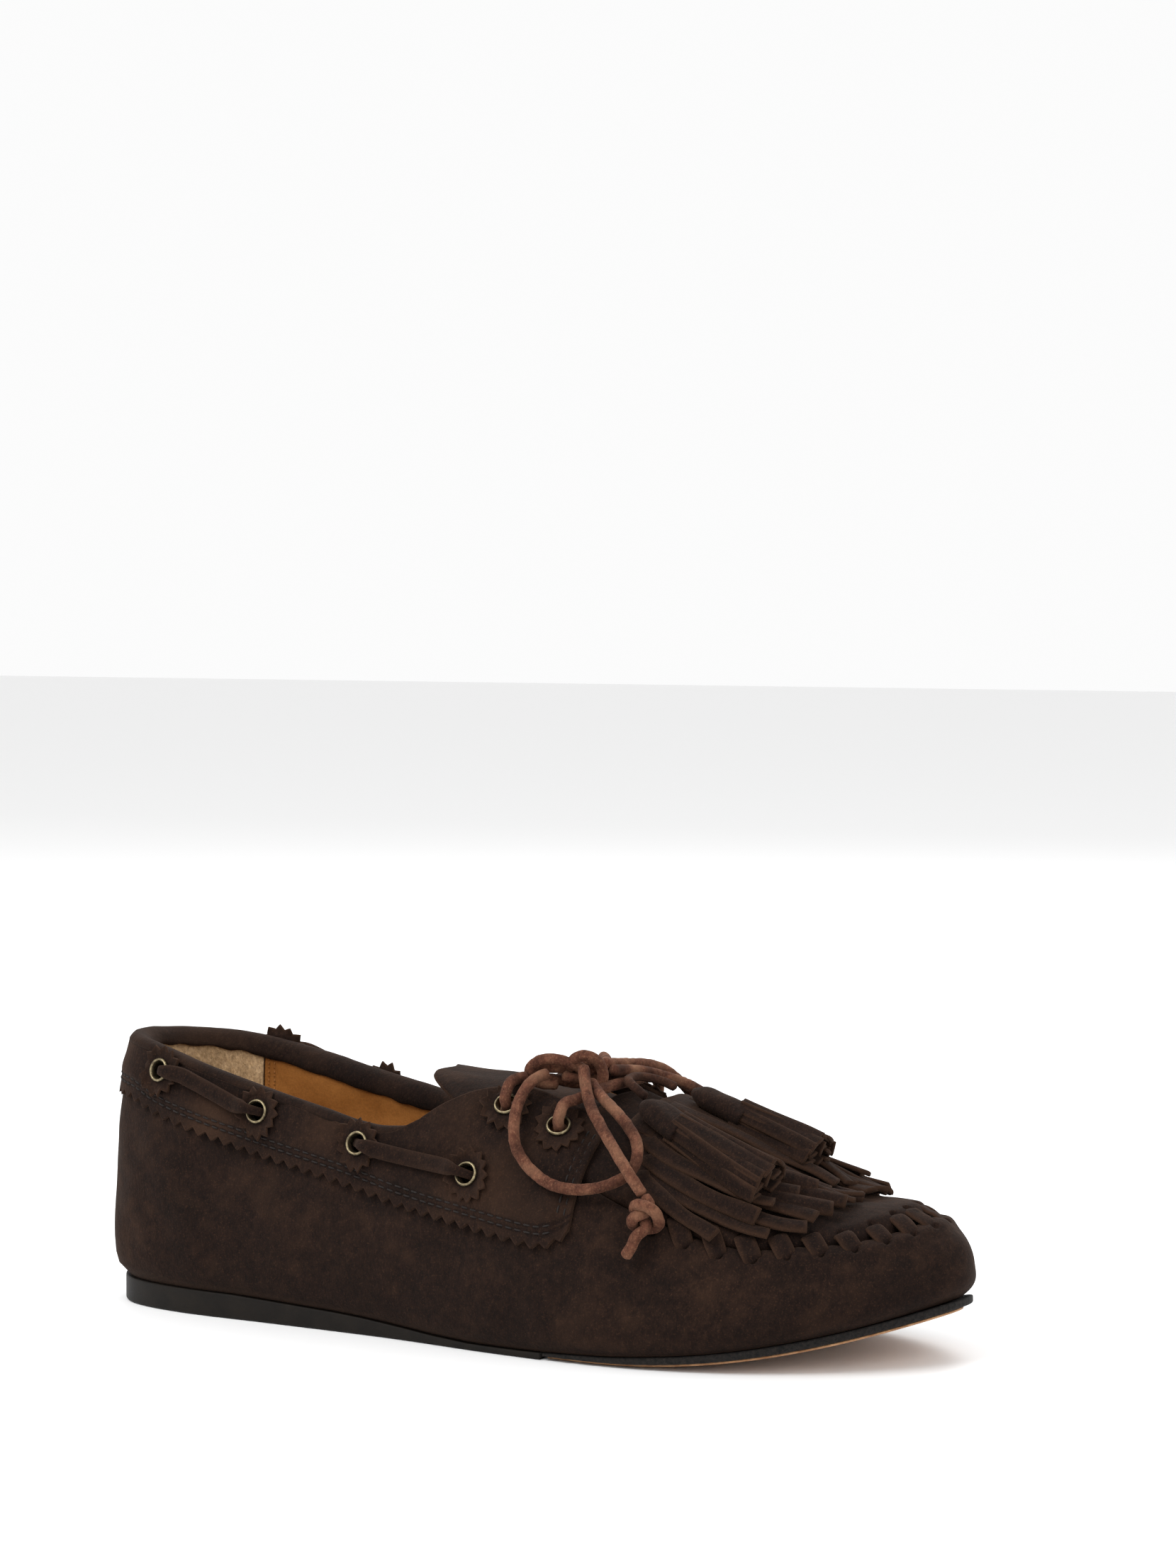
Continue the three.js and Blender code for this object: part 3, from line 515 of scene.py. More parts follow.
# ---------- materials ----------
class Look:
    """A material in the making, with short ways to add its nodes."""

    def __init__(self, name):
        self.material = bpy.data.materials.new(name)
        self.material.use_nodes = True
        self.nodes = self.material.node_tree.nodes
        self.links = self.material.node_tree.links
        self.inputs = self.nodes["Principled BSDF"].inputs

    def feed(self, socket, value):
        """Sets a socket to a value, or links it to another socket."""
        if isinstance(value, bpy.types.NodeSocket):
            self.links.new(value, socket)
        else:
            socket.default_value = value

    def noise(self, scale, detail=4.0, roughness=0.6, stretch=(1, 1, 1), turn=(0, 0, 0)):
        place = self.nodes.new("ShaderNodeTexCoord")
        mapping = self.nodes.new("ShaderNodeMapping")
        self.feed(mapping.inputs["Scale"], stretch)
        self.feed(mapping.inputs["Rotation"], turn)
        self.feed(mapping.inputs["Vector"], place.outputs["Object"])
        noise = self.nodes.new("ShaderNodeTexNoise")
        self.feed(noise.inputs["Scale"], scale)
        self.feed(noise.inputs["Detail"], detail)
        self.feed(noise.inputs["Roughness"], roughness)
        self.feed(noise.inputs["Vector"], mapping.outputs["Vector"])
        return noise.outputs["Fac"]

    def ramp(self, source, *stops):
        """Colours along a value. Each stop is [place, colour]."""
        ramp = self.nodes.new("ShaderNodeValToRGB")
        first, last = ramp.color_ramp.elements
        (first.position, first.color), (last.position, last.color) = stops[0], stops[-1]
        for place, colour in stops[1:-1]:
            ramp.color_ramp.elements.new(place).color = colour
        self.feed(ramp.inputs["Fac"], source)
        return ramp.outputs["Color"]

    def blend(self, kind, factor, first, second):
        """Two colours, mixed or multiplied by a factor."""
        node = self.nodes.new("ShaderNodeMix")
        node.data_type = "RGBA"
        node.blend_type = kind
        node.clamp_factor = True
        for socket, value in ((0, factor), (6, first), (7, second)):
            self.feed(node.inputs[socket], value)
        return node.outputs[2]

    def maths(self, kind, first, second, clamp=False):
        node = self.nodes.new("ShaderNodeMath")
        node.operation = kind
        node.use_clamp = clamp
        self.feed(node.inputs[0], first)
        self.feed(node.inputs[1], second)
        return node.outputs[0]

    def bump(self, height, strength, distance, normal=None):
        bump = self.nodes.new("ShaderNodeBump")
        self.feed(bump.inputs["Strength"], strength)
        self.feed(bump.inputs["Distance"], distance)
        self.feed(bump.inputs["Height"], height)
        if normal is not None:
            self.feed(bump.inputs["Normal"], normal)
        return bump.outputs["Normal"]

    def tone(self):
        """The wear and painted shade stored on a piece's points."""
        tone = self.nodes.new("ShaderNodeAttribute")
        tone.attribute_name = "tone"
        return tone.outputs["Fac"]

    def finish(self, **values):
        """Sets or links the shader's inputs and gives the material. Names are written with _."""
        for name, value in values.items():
            self.feed(self.inputs[name.replace("_", " ")], value)
        return self.material


def rgb(code):
    """A linear colour from a six-digit sRGB code."""
    parts = [int(code[k:k + 2], 16) / 255 for k in (0, 2, 4)]
    return tuple(p / 12.92 if p <= 0.04045 else ((p + 0.055) / 1.055) ** 2.4 for p in parts) + (1,)


def grey(level):
    return (level, level, level, 1)


def darker(colour, share):
    return tuple(share * c for c in colour[:3]) + (1,)


def suede(name, dark, middle, light, fleck, sheen=0.05, blotch=38.0):
    """Napped leather: broad brushed patches, a fine mottle, short fibres, rubbed edges and painted shade.
    """
    look = Look(name)
    patches = look.noise(blotch, 3, 0.55)
    mottle = look.noise(420, 5, 0.7)
    fibres = look.noise(1500, 3, 0.7, (1, 0.3, 0.55), (0.5, 0.3, 0.6))
    specks = look.noise(2300, 2, 0.5)
    height = look.maths("ADD", look.maths("MULTIPLY", patches, 0.35), look.maths("MULTIPLY", mottle, 0.65))
    base = look.ramp(height, (0.36, dark), (0.5, middle), (0.64, light))
    flecked = look.maths("MULTIPLY", look.ramp(specks, (0.56, grey(0)), (0.72, grey(1))), 0.35)
    base = look.blend("MIX", flecked, base, fleck)
    streak = look.ramp(fibres, (0.3, (0.62, 0.6, 0.6, 1)), (0.7, (1.35, 1.33, 1.3, 1)))
    base = look.blend("MULTIPLY", 1.0, base, streak)
    tone = look.tone()
    base = look.blend("MIX", look.maths("MULTIPLY", tone, 0.55, True), base, fleck)
    # Where tone is negative the colour darkens towards a deep brown: painted shade in grooves, holes and
    # creases, with some random darker tone.
    base = look.blend("MIX", look.maths("MULTIPLY", tone, -0.75, True), base, darker(dark, 0.35))
    coarse = look.bump(mottle, 0.5, 0.0005)
    return look.finish(Base_Color=base, Roughness=0.96, Specular_IOR_Level=0.12, Sheen_Weight=sheen,
                       Sheen_Roughness=0.45, Sheen_Tint=rgb("c89a7c"),
                       Normal=look.bump(fibres, 0.7, 0.00025, coarse))


def grained(name, dark, light, roughness, scale, metallic=0.0, depth=0.0002, specular=0.4,
            stretch=(1, 1, 1), strength=0.5, fine=6.0):
    """A plain finish with uneven colour, gloss and a fine grain."""
    look = Look(name)
    broad = look.noise(scale, 5, 0.6, stretch)
    grain = look.noise(scale * fine, 4, 0.65)
    base = look.ramp(broad, (0.35, dark), (0.65, light))
    base = look.blend("MULTIPLY", 1.0, base, look.ramp(grain, (0.3, grey(0.8)), (0.7, grey(1.15))))
    # Negative tone darkens the colour: painted shade in grooves and creases, with some random darker tone.
    painted_shade_and_tone = look.maths("MULTIPLY", look.tone(), -0.7, True)
    base = look.blend("MIX", painted_shade_and_tone, base, darker(dark, 0.25))
    gloss = look.maths("ADD", roughness - 0.08, look.maths("MULTIPLY", grain, 0.16))
    return look.finish(Base_Color=base, Roughness=gloss, Metallic=metallic, Specular_IOR_Level=specular,
                       Normal=look.bump(grain, strength, depth))


SUEDE = suede("suede", rgb("0f0806"), rgb("170d09"), rgb("20140e"), rgb("3f2b1e"))
SUEDE_TRIM = suede("suede_trim", rgb("0e0806"), rgb("160c08"), rgb("1e130d"), rgb("38271c"))
LACE = suede("lace_leather", rgb("38211a"), rgb("513226"), rgb("654434"), rgb("85634c"), 0.08, 120.0)
LACE_DARK = suede("lace_leather_dark", rgb("20140f"), rgb("301e17"), rgb("3c271d"), rgb("54392b"),
                  0.06, 120.0)
BRASS = grained("eyelet_brass", rgb("5f5442"), rgb("95896c"), 0.42, 900, 1.0, 0.00005, 0.5)
TAN = grained("tan_lining", rgb("744518"), rgb("935f2c"), 0.5, 60, 0.0, 0.00012, 0.35, fine=30.0,
              strength=0.35)
BEIGE = suede("heel_lining", rgb("8d7455"), rgb("a68b69"), rgb("b89d7b"), rgb("c9b08e"), 0.15, 45.0)
RUBBER = grained("sole_rubber", rgb("0d0906"), rgb("15100b"), 0.55, 150, 0.0, 0.0001, 0.14,
                 strength=0.3, fine=12.0)
EDGE = grained("sole_edge", rgb("0a0908"), rgb("221d1a"), 0.7, 1100, 0.0, 0.0006, 0.2, strength=0.9,
               fine=2.5)
TREAD = grained("tread_leather", rgb("8a5f3d"), rgb("b58a63"), 0.6, 220, 0.0, 0.00015, 0.3)
BOARD = grained("board", rgb("75614a"), rgb("92795a"), 0.85, 300, 0.0, 0.0002, 0.2)
THREAD = grained("thread", rgb("100b09"), rgb("1c130e"), 0.8, 1500, 0.0, 0.0001, 0.3,
                 stretch=(1, 1, 4))


def finish_piece(piece, material, slot, *nodes, body="root"):
    """Gives a piece its material and its body, and hides the part's nodes that it stands for. slot is not
    used.
    """
    piece.data.materials.clear()
    piece.data.materials.append(material)
    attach(piece, body)
    if nodes:
        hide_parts(*nodes)
    return piece


# ---------- the bottom ----------
HEEL_END = 0.0006  # slabs stop this short of the outline's two ends, in w
TOE_END = 0.9994
TREAD_END = 0.9992
WEDGE_FRONT = 0.58
FOREFOOT_START = 0.583
BOARD_THICKNESS = 2
SOCK_THICKNESS = 1.0
SOCK_INSET = 4
TREAD_THICKNESS = 0.7
TREAD_INSET = 2.4
TOE_OUTSET = 2  # how much further the sole's edge stands out round the toe


def inset_outline(w, inset):
    """The sole's outline moved inwards."""
    edge = outline(w)
    run = unit(outline(w + 0.002) - outline(w - 0.002))
    return edge + inset * np.stack([run[..., 1], -run[..., 0]], -1)


def slab_rings(start, end, low, high, profile, columns):
    """A slab cut across the shoe into closed rings. profile is [inset, height share] pairs of its edge."""
    rings = []
    for a in 0.5 - 0.5 * np.cos(np.linspace(0, math.pi, columns)):
        u = mix(start, end, a)
        outset = TOE_OUTSET * step_up(u, 0.84, 1)
        ring = []
        for side, points in ((-1, profile), (1, profile[::-1])):
            for inset, share in points:
                x, y = inset_outline(side * u, inset - outset)
                ring.append([x, y, mix(low(x), high(x), share)])
        rings.append(ring)
    return np.array(rings)


def rounded_edge(radius_share, steps=4, inset=0.35):
    """The [inset, height share] pairs of a slab's side, with its two corners rounded."""
    turn = np.linspace(0, math.pi / 2, steps)
    low = [[inset * (1 - math.sin(a)), radius_share * (1 - math.cos(a))] for a in turn]
    return low + [[p, 1 - q] for p, q in low[::-1]]


def tread_top(x):
    return lift(x) + TREAD_THICKNESS


def sock_base(x):
    return sole_top(x) + BOARD_THICKNESS + GAP


def set_in(profile, inset):
    """An edge profile moved in from the shoe's outline."""
    return [[inset + p, q] for p, q in profile]


def make_wedge():
    rings = slab_rings(HEEL_END, WEDGE_FRONT, lambda x: 0 * x, sole_edge_top, rounded_edge(0.08), 150)
    wedge = lofts("heel_wedge_rubber", [rings])
    finish_piece(wedge, RUBBER, "sole_rubber", "heel_wedge")


def make_forefoot_sole():
    """The thin front sole, with a rough cut edge."""
    rings = slab_rings(FOREFOOT_START, TOE_END, lambda x: tread_top(x) + GAP / 2, sole_edge_top,
                       rounded_edge(0.25, 4, 0.5), 260)
    middle = rings.mean(1, keepdims=True)
    rough = ripple(rings, 1.1, 5)[..., None] * 0.1 + ripple(rings, 2.6, 6)[..., None] * 0.1
    outward = unit((rings - middle) * [1, 1, 0])
    sole = lofts("forefoot_sole_edge", [rings + outward * rough])
    finish_piece(sole, EDGE, "sole_rubber", "forefoot_sole")


def make_tread():
    edge = set_in(rounded_edge(0.3, 4, 0.5), TREAD_INSET)
    rings = slab_rings(FOREFOOT_START, TREAD_END, lift, tread_top, edge, 160)
    tread = lofts("forefoot_tread_leather", [rings])
    finish_piece(tread, TREAD, "tread_leather", "forefoot_tread")


def make_sock():
    rings = slab_rings(HEEL_END, TOE_END, sock_base, lambda x: sock_base(x) + SOCK_THICKNESS,
                       set_in(rounded_edge(0.3), SOCK_INSET), 150)
    sock = lofts("insole_sock_leather", [rings])
    finish_piece(sock, BEIGE, "heel_lining", "insole_sock")


# ---------- the whip stitches' places ----------
STITCH_PITCH = 8.6
STITCH_BACK = 0.64
STITCH_HOLE = 1.15  # its radius
HOLE_DEPTH = 1.5
APRON_PUFF = 1.0  # how much fuller the apron stands beside its seam round the toe
APRON_SINK = 2.6  # how much lower its middle lies over the toes
TOE_FULLNESS = 1.7  # how much fuller the vamp stands round the toe


def stitch_places():
    """The w of each strap, at even steps along the apron's seam from the toe to each side."""
    w = np.linspace(1, STITCH_BACK, 800)
    line = last_point(w, seam_t(w))
    run = run_along(line)
    marks = np.arange(STITCH_PITCH / 2, run[-1], STITCH_PITCH)
    side = np.interp(marks, run, w)
    return np.concatenate([-side[::-1], side])


def stitch_ends(w):
    """The inner and outer hole of the strap at w, as [w, t] pairs. It is longer round the toe."""
    u = abs(w)
    toe = float(step_up(u, 0.84, 0.97))
    lean = math.copysign(mix(0.006, 0.003, toe), w)
    inner = [w - lean, float(seam_t(w)) + mix(0.05, 0.1, toe)]
    outer = [w + lean, float(seam_t(w)) - mix(0.056, 0.09, toe)]
    return inner, outer


STITCHES = [stitch_ends(float(w)) for w in stitch_places()]
OUTER_HOLES = np.array([last_point(*outer) for inner, outer in STITCHES])
INNER_HOLES = np.array([last_point(*inner) for inner, outer in STITCHES])


def apron_sink(w, t):
    """How much lower the apron lies at w and t than the last with its puff."""
    return APRON_SINK * step_up(np.abs(wrap(w)), 0.74, 0.87) * step_up(t, seam_t(w) + 0.08, 0.95)


def seam_dip(points, w, t):
    """How far the leather turns down into the apron's seam, with a soft swell beside it."""
    line = last_point(w, seam_t(w))
    far = np.linalg.norm(points - line, axis=-1)
    live = step_up(np.abs(wrap(w)), APRON_START - 0.01, APRON_START + 0.01)
    roll = -1.0 * step_up(-far, -1.4, 0) - 0.15 * step_up(-far, -3, 0)
    toe = step_up(np.abs(wrap(w)), 0.78, 0.92)
    swell = mix(0.55, 1.0, toe) * np.exp(-((far - 4.0) / 2.4) ** 2)
    swell += (APRON_PUFF * toe * step_up(far, 1, 8) - apron_sink(w, t)) * (t > seam_t(w))
    swell += TOE_FULLNESS * toe * np.exp(-((t - 0.36) / 0.17) ** 2) * (t < seam_t(w))
    return (roll + swell + pucker(points, far)) * live


def pucker(points, far):
    """Leather pulled in under each strap and full between them."""
    middles = (OUTER_HOLES + INNER_HOLES) / 2
    pulled = nearness(points, middles, STITCH_PITCH * 0.55)
    return (0.25 - 0.75 * pulled) * np.exp(-((far / 5.5) ** 2))


def hole_dip(points, holes):
    """How far the leather is pulled in round the straps' holes."""
    return -HOLE_DEPTH * nearness(points, holes, STITCH_HOLE * 1.25) - 0.2 * nearness(points, holes, 3.2)


# ---------- the upper ----------
APRON_BACK = 0.585
LEATHER = 1.5  # the thickness of the vamp and the apron
OUTSIDE_LIMIT = 9  # far enough off the last not to hold anything in


def heel_seam(points, w):
    """The groove of the seam down the back of the heel, with a soft ridge on each side."""
    far = np.linalg.norm(points[..., 1:2], axis=-1) + 1000 * (np.abs(w) > 0.2)
    return -0.7 * np.exp(-(far / 0.5) ** 2) + 0.35 * np.exp(-((far - 1.6) / 1.1) ** 2)


def make_vamp():
    """The one-piece wrap, held in to the last where the collar covers it."""
    w, b = np.meshgrid(np.linspace(-1, 1, 1101), np.linspace(0, 1, 84), indexing="ij")
    t = vamp_top_t(w) * (1 - (1 - b) ** 1.35)
    points = last_point(w, t)
    height = points[..., 2] - sole_top(points[..., 0])
    off = seam_dip(points, w, t) + hole_dip(points, OUTER_HOLES)
    off += 0.45 * ripple(points, 34, 11) * step_up(height, 2, 14)
    off += 0.14 * ripple(points, 11, 12) * step_up(height, 2, 8)
    off += 1.2 * np.exp(-((height - 3.5) / 3.2) ** 2)
    off += heel_seam(points, w)
    covered = step_up(t, collar_edge_t(w) + 0.01, collar_edge_t(w) + 0.05) * (np.abs(w) < COLLAR_FRONT)
    off = np.minimum(off, mix(OUTSIDE_LIMIT, 0, covered))
    front = on_last(w, t, off)
    back = on_last(w, t, np.minimum(off, 0) - LEATHER)
    drop = linear(UPPER_DROP, points[..., 0]) * step_up(-height, -12, 0)
    front[..., 2] -= drop
    back[..., 2] -= drop
    # Painted shade: darker along the bottom 2.5 mm, where the upper tucks in against the sole, and
    # wherever the leather sinks into the seam, the heel seam and the strap holes. The ripples are random
    # tone.
    tone = -0.9 * step_up(-height, -2.5, 0) - 0.6 * np.clip(-off - 0.4, 0, 1)
    tone += 0.16 * ripple(points, 20, 13) + 0.12 * ripple(points, 6, 14)
    vamp = sheet("vamp_suede", front, back, None, 0.25, tone, 0.3)
    finish_piece(vamp, SUEDE, "suede", "vamp")


def make_apron():
    """The plug on top of the foot, out to the seam and round the toe."""
    u = np.concatenate([np.linspace(-APRON_BACK, -1, 301), np.linspace(1, APRON_BACK, 301)[1:]])
    w, b = np.meshgrid(u, np.linspace(0, 1, 70), indexing="ij")
    t = mix(seam_t(w) + SEAM_GAP, 1, 1 - (1 - b) ** 1.2)
    t = np.where(b == 1, 1, t)
    points = last_point(w, t)
    off = seam_dip(points, w, t) + hole_dip(points, INNER_HOLES)
    off += 0.3 * ripple(points, 30, 21) + 0.1 * ripple(points, 9, 22)
    front = on_last(w, t, off)
    back = on_last(w, t, np.minimum(off, 0) - LEATHER)
    top = front[:, -1]
    front[:, -1] = (top + top[::-1]) / 2
    back[:, -1] = (back[:, -1] + back[::-1, -1]) / 2
    # Painted shade darkens the leather where it sinks into the seam and the strap holes; the ripples are
    # random tone.
    tone = -0.6 * np.clip(-off - 0.4 - apron_sink(w, t), 0, 1)
    tone += 0.15 * ripple(points, 18, 23) + 0.1 * ripple(points, 6, 24)
    apron = sheet("apron_suede", front, back, None, 0.25, tone, 0.3)
    finish_piece(apron, SUEDE, "suede", "apron_plug")


STRAP_WIDTH = 5.5
STRAP_THICKNESS = 1.1
# Over a strap: [share of the way from its inner hole to its outer one, distance from the last].
STRAP_PATH = [[0, -1.1], [0.04, 0.1], [0.16, 0.85], [0.4, 1.0], [0.62, 1.0], [0.86, 0.85],
              [0.97, 0.1], [1, -1.1]]


def make_whip_stitches():
    """Wide suede straps over the seam, each diving into a hole at its two ends."""
    bodies = []
    for number, (inner, outer) in enumerate(STITCHES):
        draw = np.random.default_rng(40 + number)
        route = []
        for share, height in STRAP_PATH:
            w, t = (mix(inner[k], outer[k], share) for k in range(2))
            route.append(on_last(w, t, height + 0.1 * draw.normal()))
        path = even_path(route, 0.55)
        up = last_normal(*(mix(inner[k], outer[k], 0.5) for k in range(2)))
        share = np.linspace(0, 1, len(path))
        width = STRAP_WIDTH * mix(0.7, 1, np.sin(share * math.pi) ** 0.35) * draw.uniform(0.92, 1.05)
        bodies.append(strip_rings(path, up, width, STRAP_THICKNESS, 0.15))
    straps = lofts("apron_whip_stitches", bodies, [strip_tones(len(r), 0.1) for r in bodies])
    finish_piece(straps, SUEDE, "suede_trim", "apron_thong")


# ---------- the collar ----------
COLLAR_GAP = 0.45
COLLAR_LIFT = 1.7
COLLAR_THICKNESS = 1.1
TOOTH_PITCH = 4.5
TOOTH_DEPTH = 1.9
TOOTH_STEPS = 8
STITCH_ROWS = (3.1, 4.9)  # millimetres above the pinked edge
FRONT_STITCH_ROWS = (2.0, 3.8)  # millimetres behind the front edge
GROOVE = 0.28  # how deep a row of stitches is sunk, and half a millimetre wide
STITCH_LENGTH = 2.3
EYELET_HOLE = 2.7
ALL_EYELETS = [[side * u, t] for side in (-1, 1) for u, t in SIDE_EYELETS + FRONT_EYELETS]
EYELET_CENTRES = np.array([last_point(w, t) for w, t in ALL_EYELETS])


def collar_columns():
    """The w of the collar's columns, a whole number of them to each tooth of its pinked edge."""
    w = np.linspace(-COLLAR_FRONT, COLLAR_FRONT, 1600)
    line = on_last(w, collar_edge_t(w), 1)
    run = run_along(line)
    teeth = int(round(run[-1] / TOOTH_PITCH))
    return np.interp(np.linspace(0, run[-1], teeth * TOOTH_STEPS + 1), run, w)


def collar_inner(w, up):
    """The collar's distance from the vamp, up millimetres above its lower edge."""
    rise = step_up(up, 1.5, 7)
    back = step_up(COLLAR_FRONT - np.abs(w), 0, 0.02)
    return mix(COLLAR_GAP, COLLAR_LIFT, rise * back * step_up(np.abs(w), 0.08, 0.2))


def collar_grid():
    """w, t and millimetres above the pinked edge over the collar, finer beside that edge."""
    w_line = collar_columns()
    b_line = np.concatenate([np.linspace(0, 0.3, 22)[:-1], np.linspace(0.3, 1, 40)])
    w, b = np.meshgrid(w_line, b_line, indexing="ij")
    low, high = collar_edge_t(w), collar_top_t(w)
    scale = millimetres_per_t(w, low)
    corner = step_up(np.abs(w), COLLAR_FRONT - 0.02, COLLAR_FRONT)
    high = high - 0.05 * corner**2
    column = np.arange(len(w_line))[:, None]
    tooth = np.abs((column % TOOTH_STEPS) / TOOTH_STEPS * 2 - 1)
    reach = TOOTH_DEPTH * (0.5 - tooth) / scale
    up = b * (high - low) * scale
    return w, mix(low, high, b) - reach * step_up(-up, -3.2, 0), up


def grooves(far, rows):
    """1 along each row of stitches, 0 away from them."""
    return sum(np.exp(-((far - row) / 0.5) ** 2) for row in rows)


def make_collar():
    w, t, up = collar_grid()
    points = last_point(w, t)
    off = collar_inner(w, up) + COLLAR_THICKNESS
    groove = grooves(up, STITCH_ROWS)
    off += -GROOVE * groove + 0.35 * np.exp(-((up - 8) / 3.5) ** 2)
    front_edge = arc_from_front(w, t)
    off += -GROOVE * grooves(front_edge, FRONT_STITCH_ROWS)
    off += 0.3 * np.exp(-((front_edge - 0.9) / 0.9) ** 2)
    off += 0.22 * ripple(points, 24, 31) * step_up(up, 4, 12)
    off += 0.1 * ripple(points, 8, 32) * step_up(up, 1, 4)
    off -= 0.45 * nearness(points, EYELET_CENTRES, 9)
    front = on_last(w, t, off)
    back = on_last(w, t, np.maximum(off - COLLAR_THICKNESS, GAP * 0.5))
    middle = (points[1:, 1:] + points[:-1, :-1]) / 2
    keep = nearness(middle, EYELET_CENTRES, EYELET_HOLE) == 0
    # Painted shade darkens the stitch grooves; the ripple is random tone, and the pinked and front edges
    # are rubbed lighter.
    tone = -0.55 * groove + 0.3 * ripple(points, 22, 33) + 0.15 * step_up(-up, -0.9, 0)
    tone += 0.1 * step_up(-front_edge, -1.2, 0)
    collar = sheet("collar_suede", front, back, keep, 0.25, tone, 0.75)
    finish_piece(collar, SUEDE, "suede", "collar")


def arc_from_front(w, t):
    """Millimetres from the collar's front edge, measured round the shoe. Far back it is just far."""
    near = np.abs(w) > 0.5
    return np.where(near, (COLLAR_FRONT - np.abs(w)) * millimetres_per_w(w, t), 99)


def thread_line(w, t, off, length=STITCH_LENGTH, gap=0.55, diameter=0.5):
    """Sewn stitches along a line on the last, each a short thread that dips at both ends."""
    run = run_along(on_last(w, t, off))
    bodies = []
    for start in np.arange(0.4, run[-1] - length, length + gap):
        marks = np.linspace(start, start + length, 7)
        place = np.interp(marks, run, np.arange(len(run)))
        at = [np.interp(place, np.arange(len(run)), v) for v in (w, t, off)]
        arch = 0.16 - 0.5 * np.abs(np.linspace(-1, 1, 7)) ** 3
        path = on_last(at[0], at[1], at[2] + arch)
        bodies.append(tube_rings(path, diameter, sides=6, grain=0.0))
    return bodies


def make_collar_threads():
    """Two rows along the pinked edge and two down each front edge."""
    bodies = []
    w = collar_columns()[::2]
    low = collar_edge_t(w)
    scale = millimetres_per_t(w, low)
    inside = np.abs(w) < COLLAR_FRONT - 0.012
    for row in STITCH_ROWS:
        t = low + row / scale
        off = collar_inner(w, row) + COLLAR_THICKNESS - 0.12
        bodies += thread_line(w[inside], t[inside], off[inside])
    for side in (-1, 1):
        edge = side * COLLAR_FRONT
        t = np.linspace(float(collar_edge_t(side * 0.6)) + 0.06, 0.66, 120)
        for row in FRONT_STITCH_ROWS:
            w = edge - side * row / millimetres_per_w(edge, t)
            bodies += thread_line(w, t, collar_inner(w, 20) + COLLAR_THICKNESS - 0.1)
    threads = lofts("collar_stitching", bodies)
    finish_piece(threads, THREAD, "suede_trim")


# ---------- linings, binding and tongue ----------
LINING = (-3.9, -2.8)  # the distance of its two faces from the last
LINING_SEAM = 0.238  # where the heel lining meets the quarter linings
LINING_FRONT = 0.6
LOW_EDGE = 3  # how far above the sole the linings start
LINING_STITCH_ROWS = (0.007, 0.0145)  # past the seam, in w
FRONT_CENTRES = {side: np.array([on_last(side * u, t, LINING[0]) for u, t in FRONT_EYELETS])
                 for side in (-1, 1)}


def lining_low_t(w, above):
    return height_to_t(w, sole_top(outline(w)[..., 0]) + above)


def lining(name, start, end, columns, shrink, centres, seed):
    """A lining from one w to another. Its top stays short of the collar's, and centres are its holes."""
    w, b = np.meshgrid(np.linspace(start, end, columns), np.linspace(0, 1, 44), indexing="ij")
    t = mix(lining_low_t(w, LOW_EDGE), collar_top_t(w) - shrink, b)
    points = last_point(w, t)
    wave = 0.2 * ripple(points, 40, seed) + 0.05 * ripple(points, 9, seed + 1)
    front = on_last(w, t, LINING[1])
    back = on_last(w, t, LINING[0] + wave)
    keep = None
    if centres is not None:
        middle = (back[1:, 1:] + back[:-1, :-1]) / 2
        keep = nearness(middle, centres, EYELET_HOLE) == 0
    return sheet(name, front, back, keep, 0.2, None, 0.0)


def make_linings():
    for side, word in ((-1, "lateral"), (1, "medial")):
        quarter = lining(f"{word}_quarter_lining_leather", side * (LINING_SEAM + 0.0015),
                         side * LINING_FRONT, 200, 0.012, FRONT_CENTRES[side], 60)
        finish_piece(quarter, TAN, "tan_lining", f"{word}_quarter_lining")
    heel = lining("heel_lining_suede", -LINING_SEAM, LINING_SEAM, 220, 0.0, None, 64)
    finish_piece(heel, BEIGE, "heel_lining", "heel_lining")


def make_lining_threads():
    """Two rows of stitches down each quarter lining, beside the heel lining."""
    bodies = []
    b = np.linspace(0, 1, 90)
    for side in (-1, 1):
        for ahead in LINING_STITCH_ROWS:
            w = np.full(len(b), side * (LINING_SEAM + ahead))
            t = mix(lining_low_t(w, LOW_EDGE + 2), topline_t(w), b)
            off = LINING[0] + 0.2 * ripple(last_point(w, t), 40, 60) - 0.1
            bodies += thread_line(w, t, off, 1.9, 0.6, 0.45)
    threads = lofts("lining_stitching", bodies)
    finish_piece(threads, TAN, "tan_lining")


# The binding's section: [distance from the last, height over the topline], closed on itself.
BINDING = [[2.75, -0.5], [2.9, 0.3], [2.55, 1.2], [1.7, 1.9], [0.4, 2.3], [-1.1, 2.35], [-2.6, 1.95],
           [-3.8, 1.2], [-4.6, 0.1], [-4.95, -1.0], [-4.95, -2.0], [-4.75, -2.9], [-4.45, -3.2],
           [-4.2, -2.8], [-4.15, -1.4], [-4.1, -0.2], [-3.6, 0.4], [0, 0.5], [2.1, 0.3], [2.5, -0.1]]
BINDING_END = 0.473
BINDING_MIDDLE = -0.5  # where its section shrinks to at its two ends
HEM = -2.5  # below this height the section is its uneven inner edge


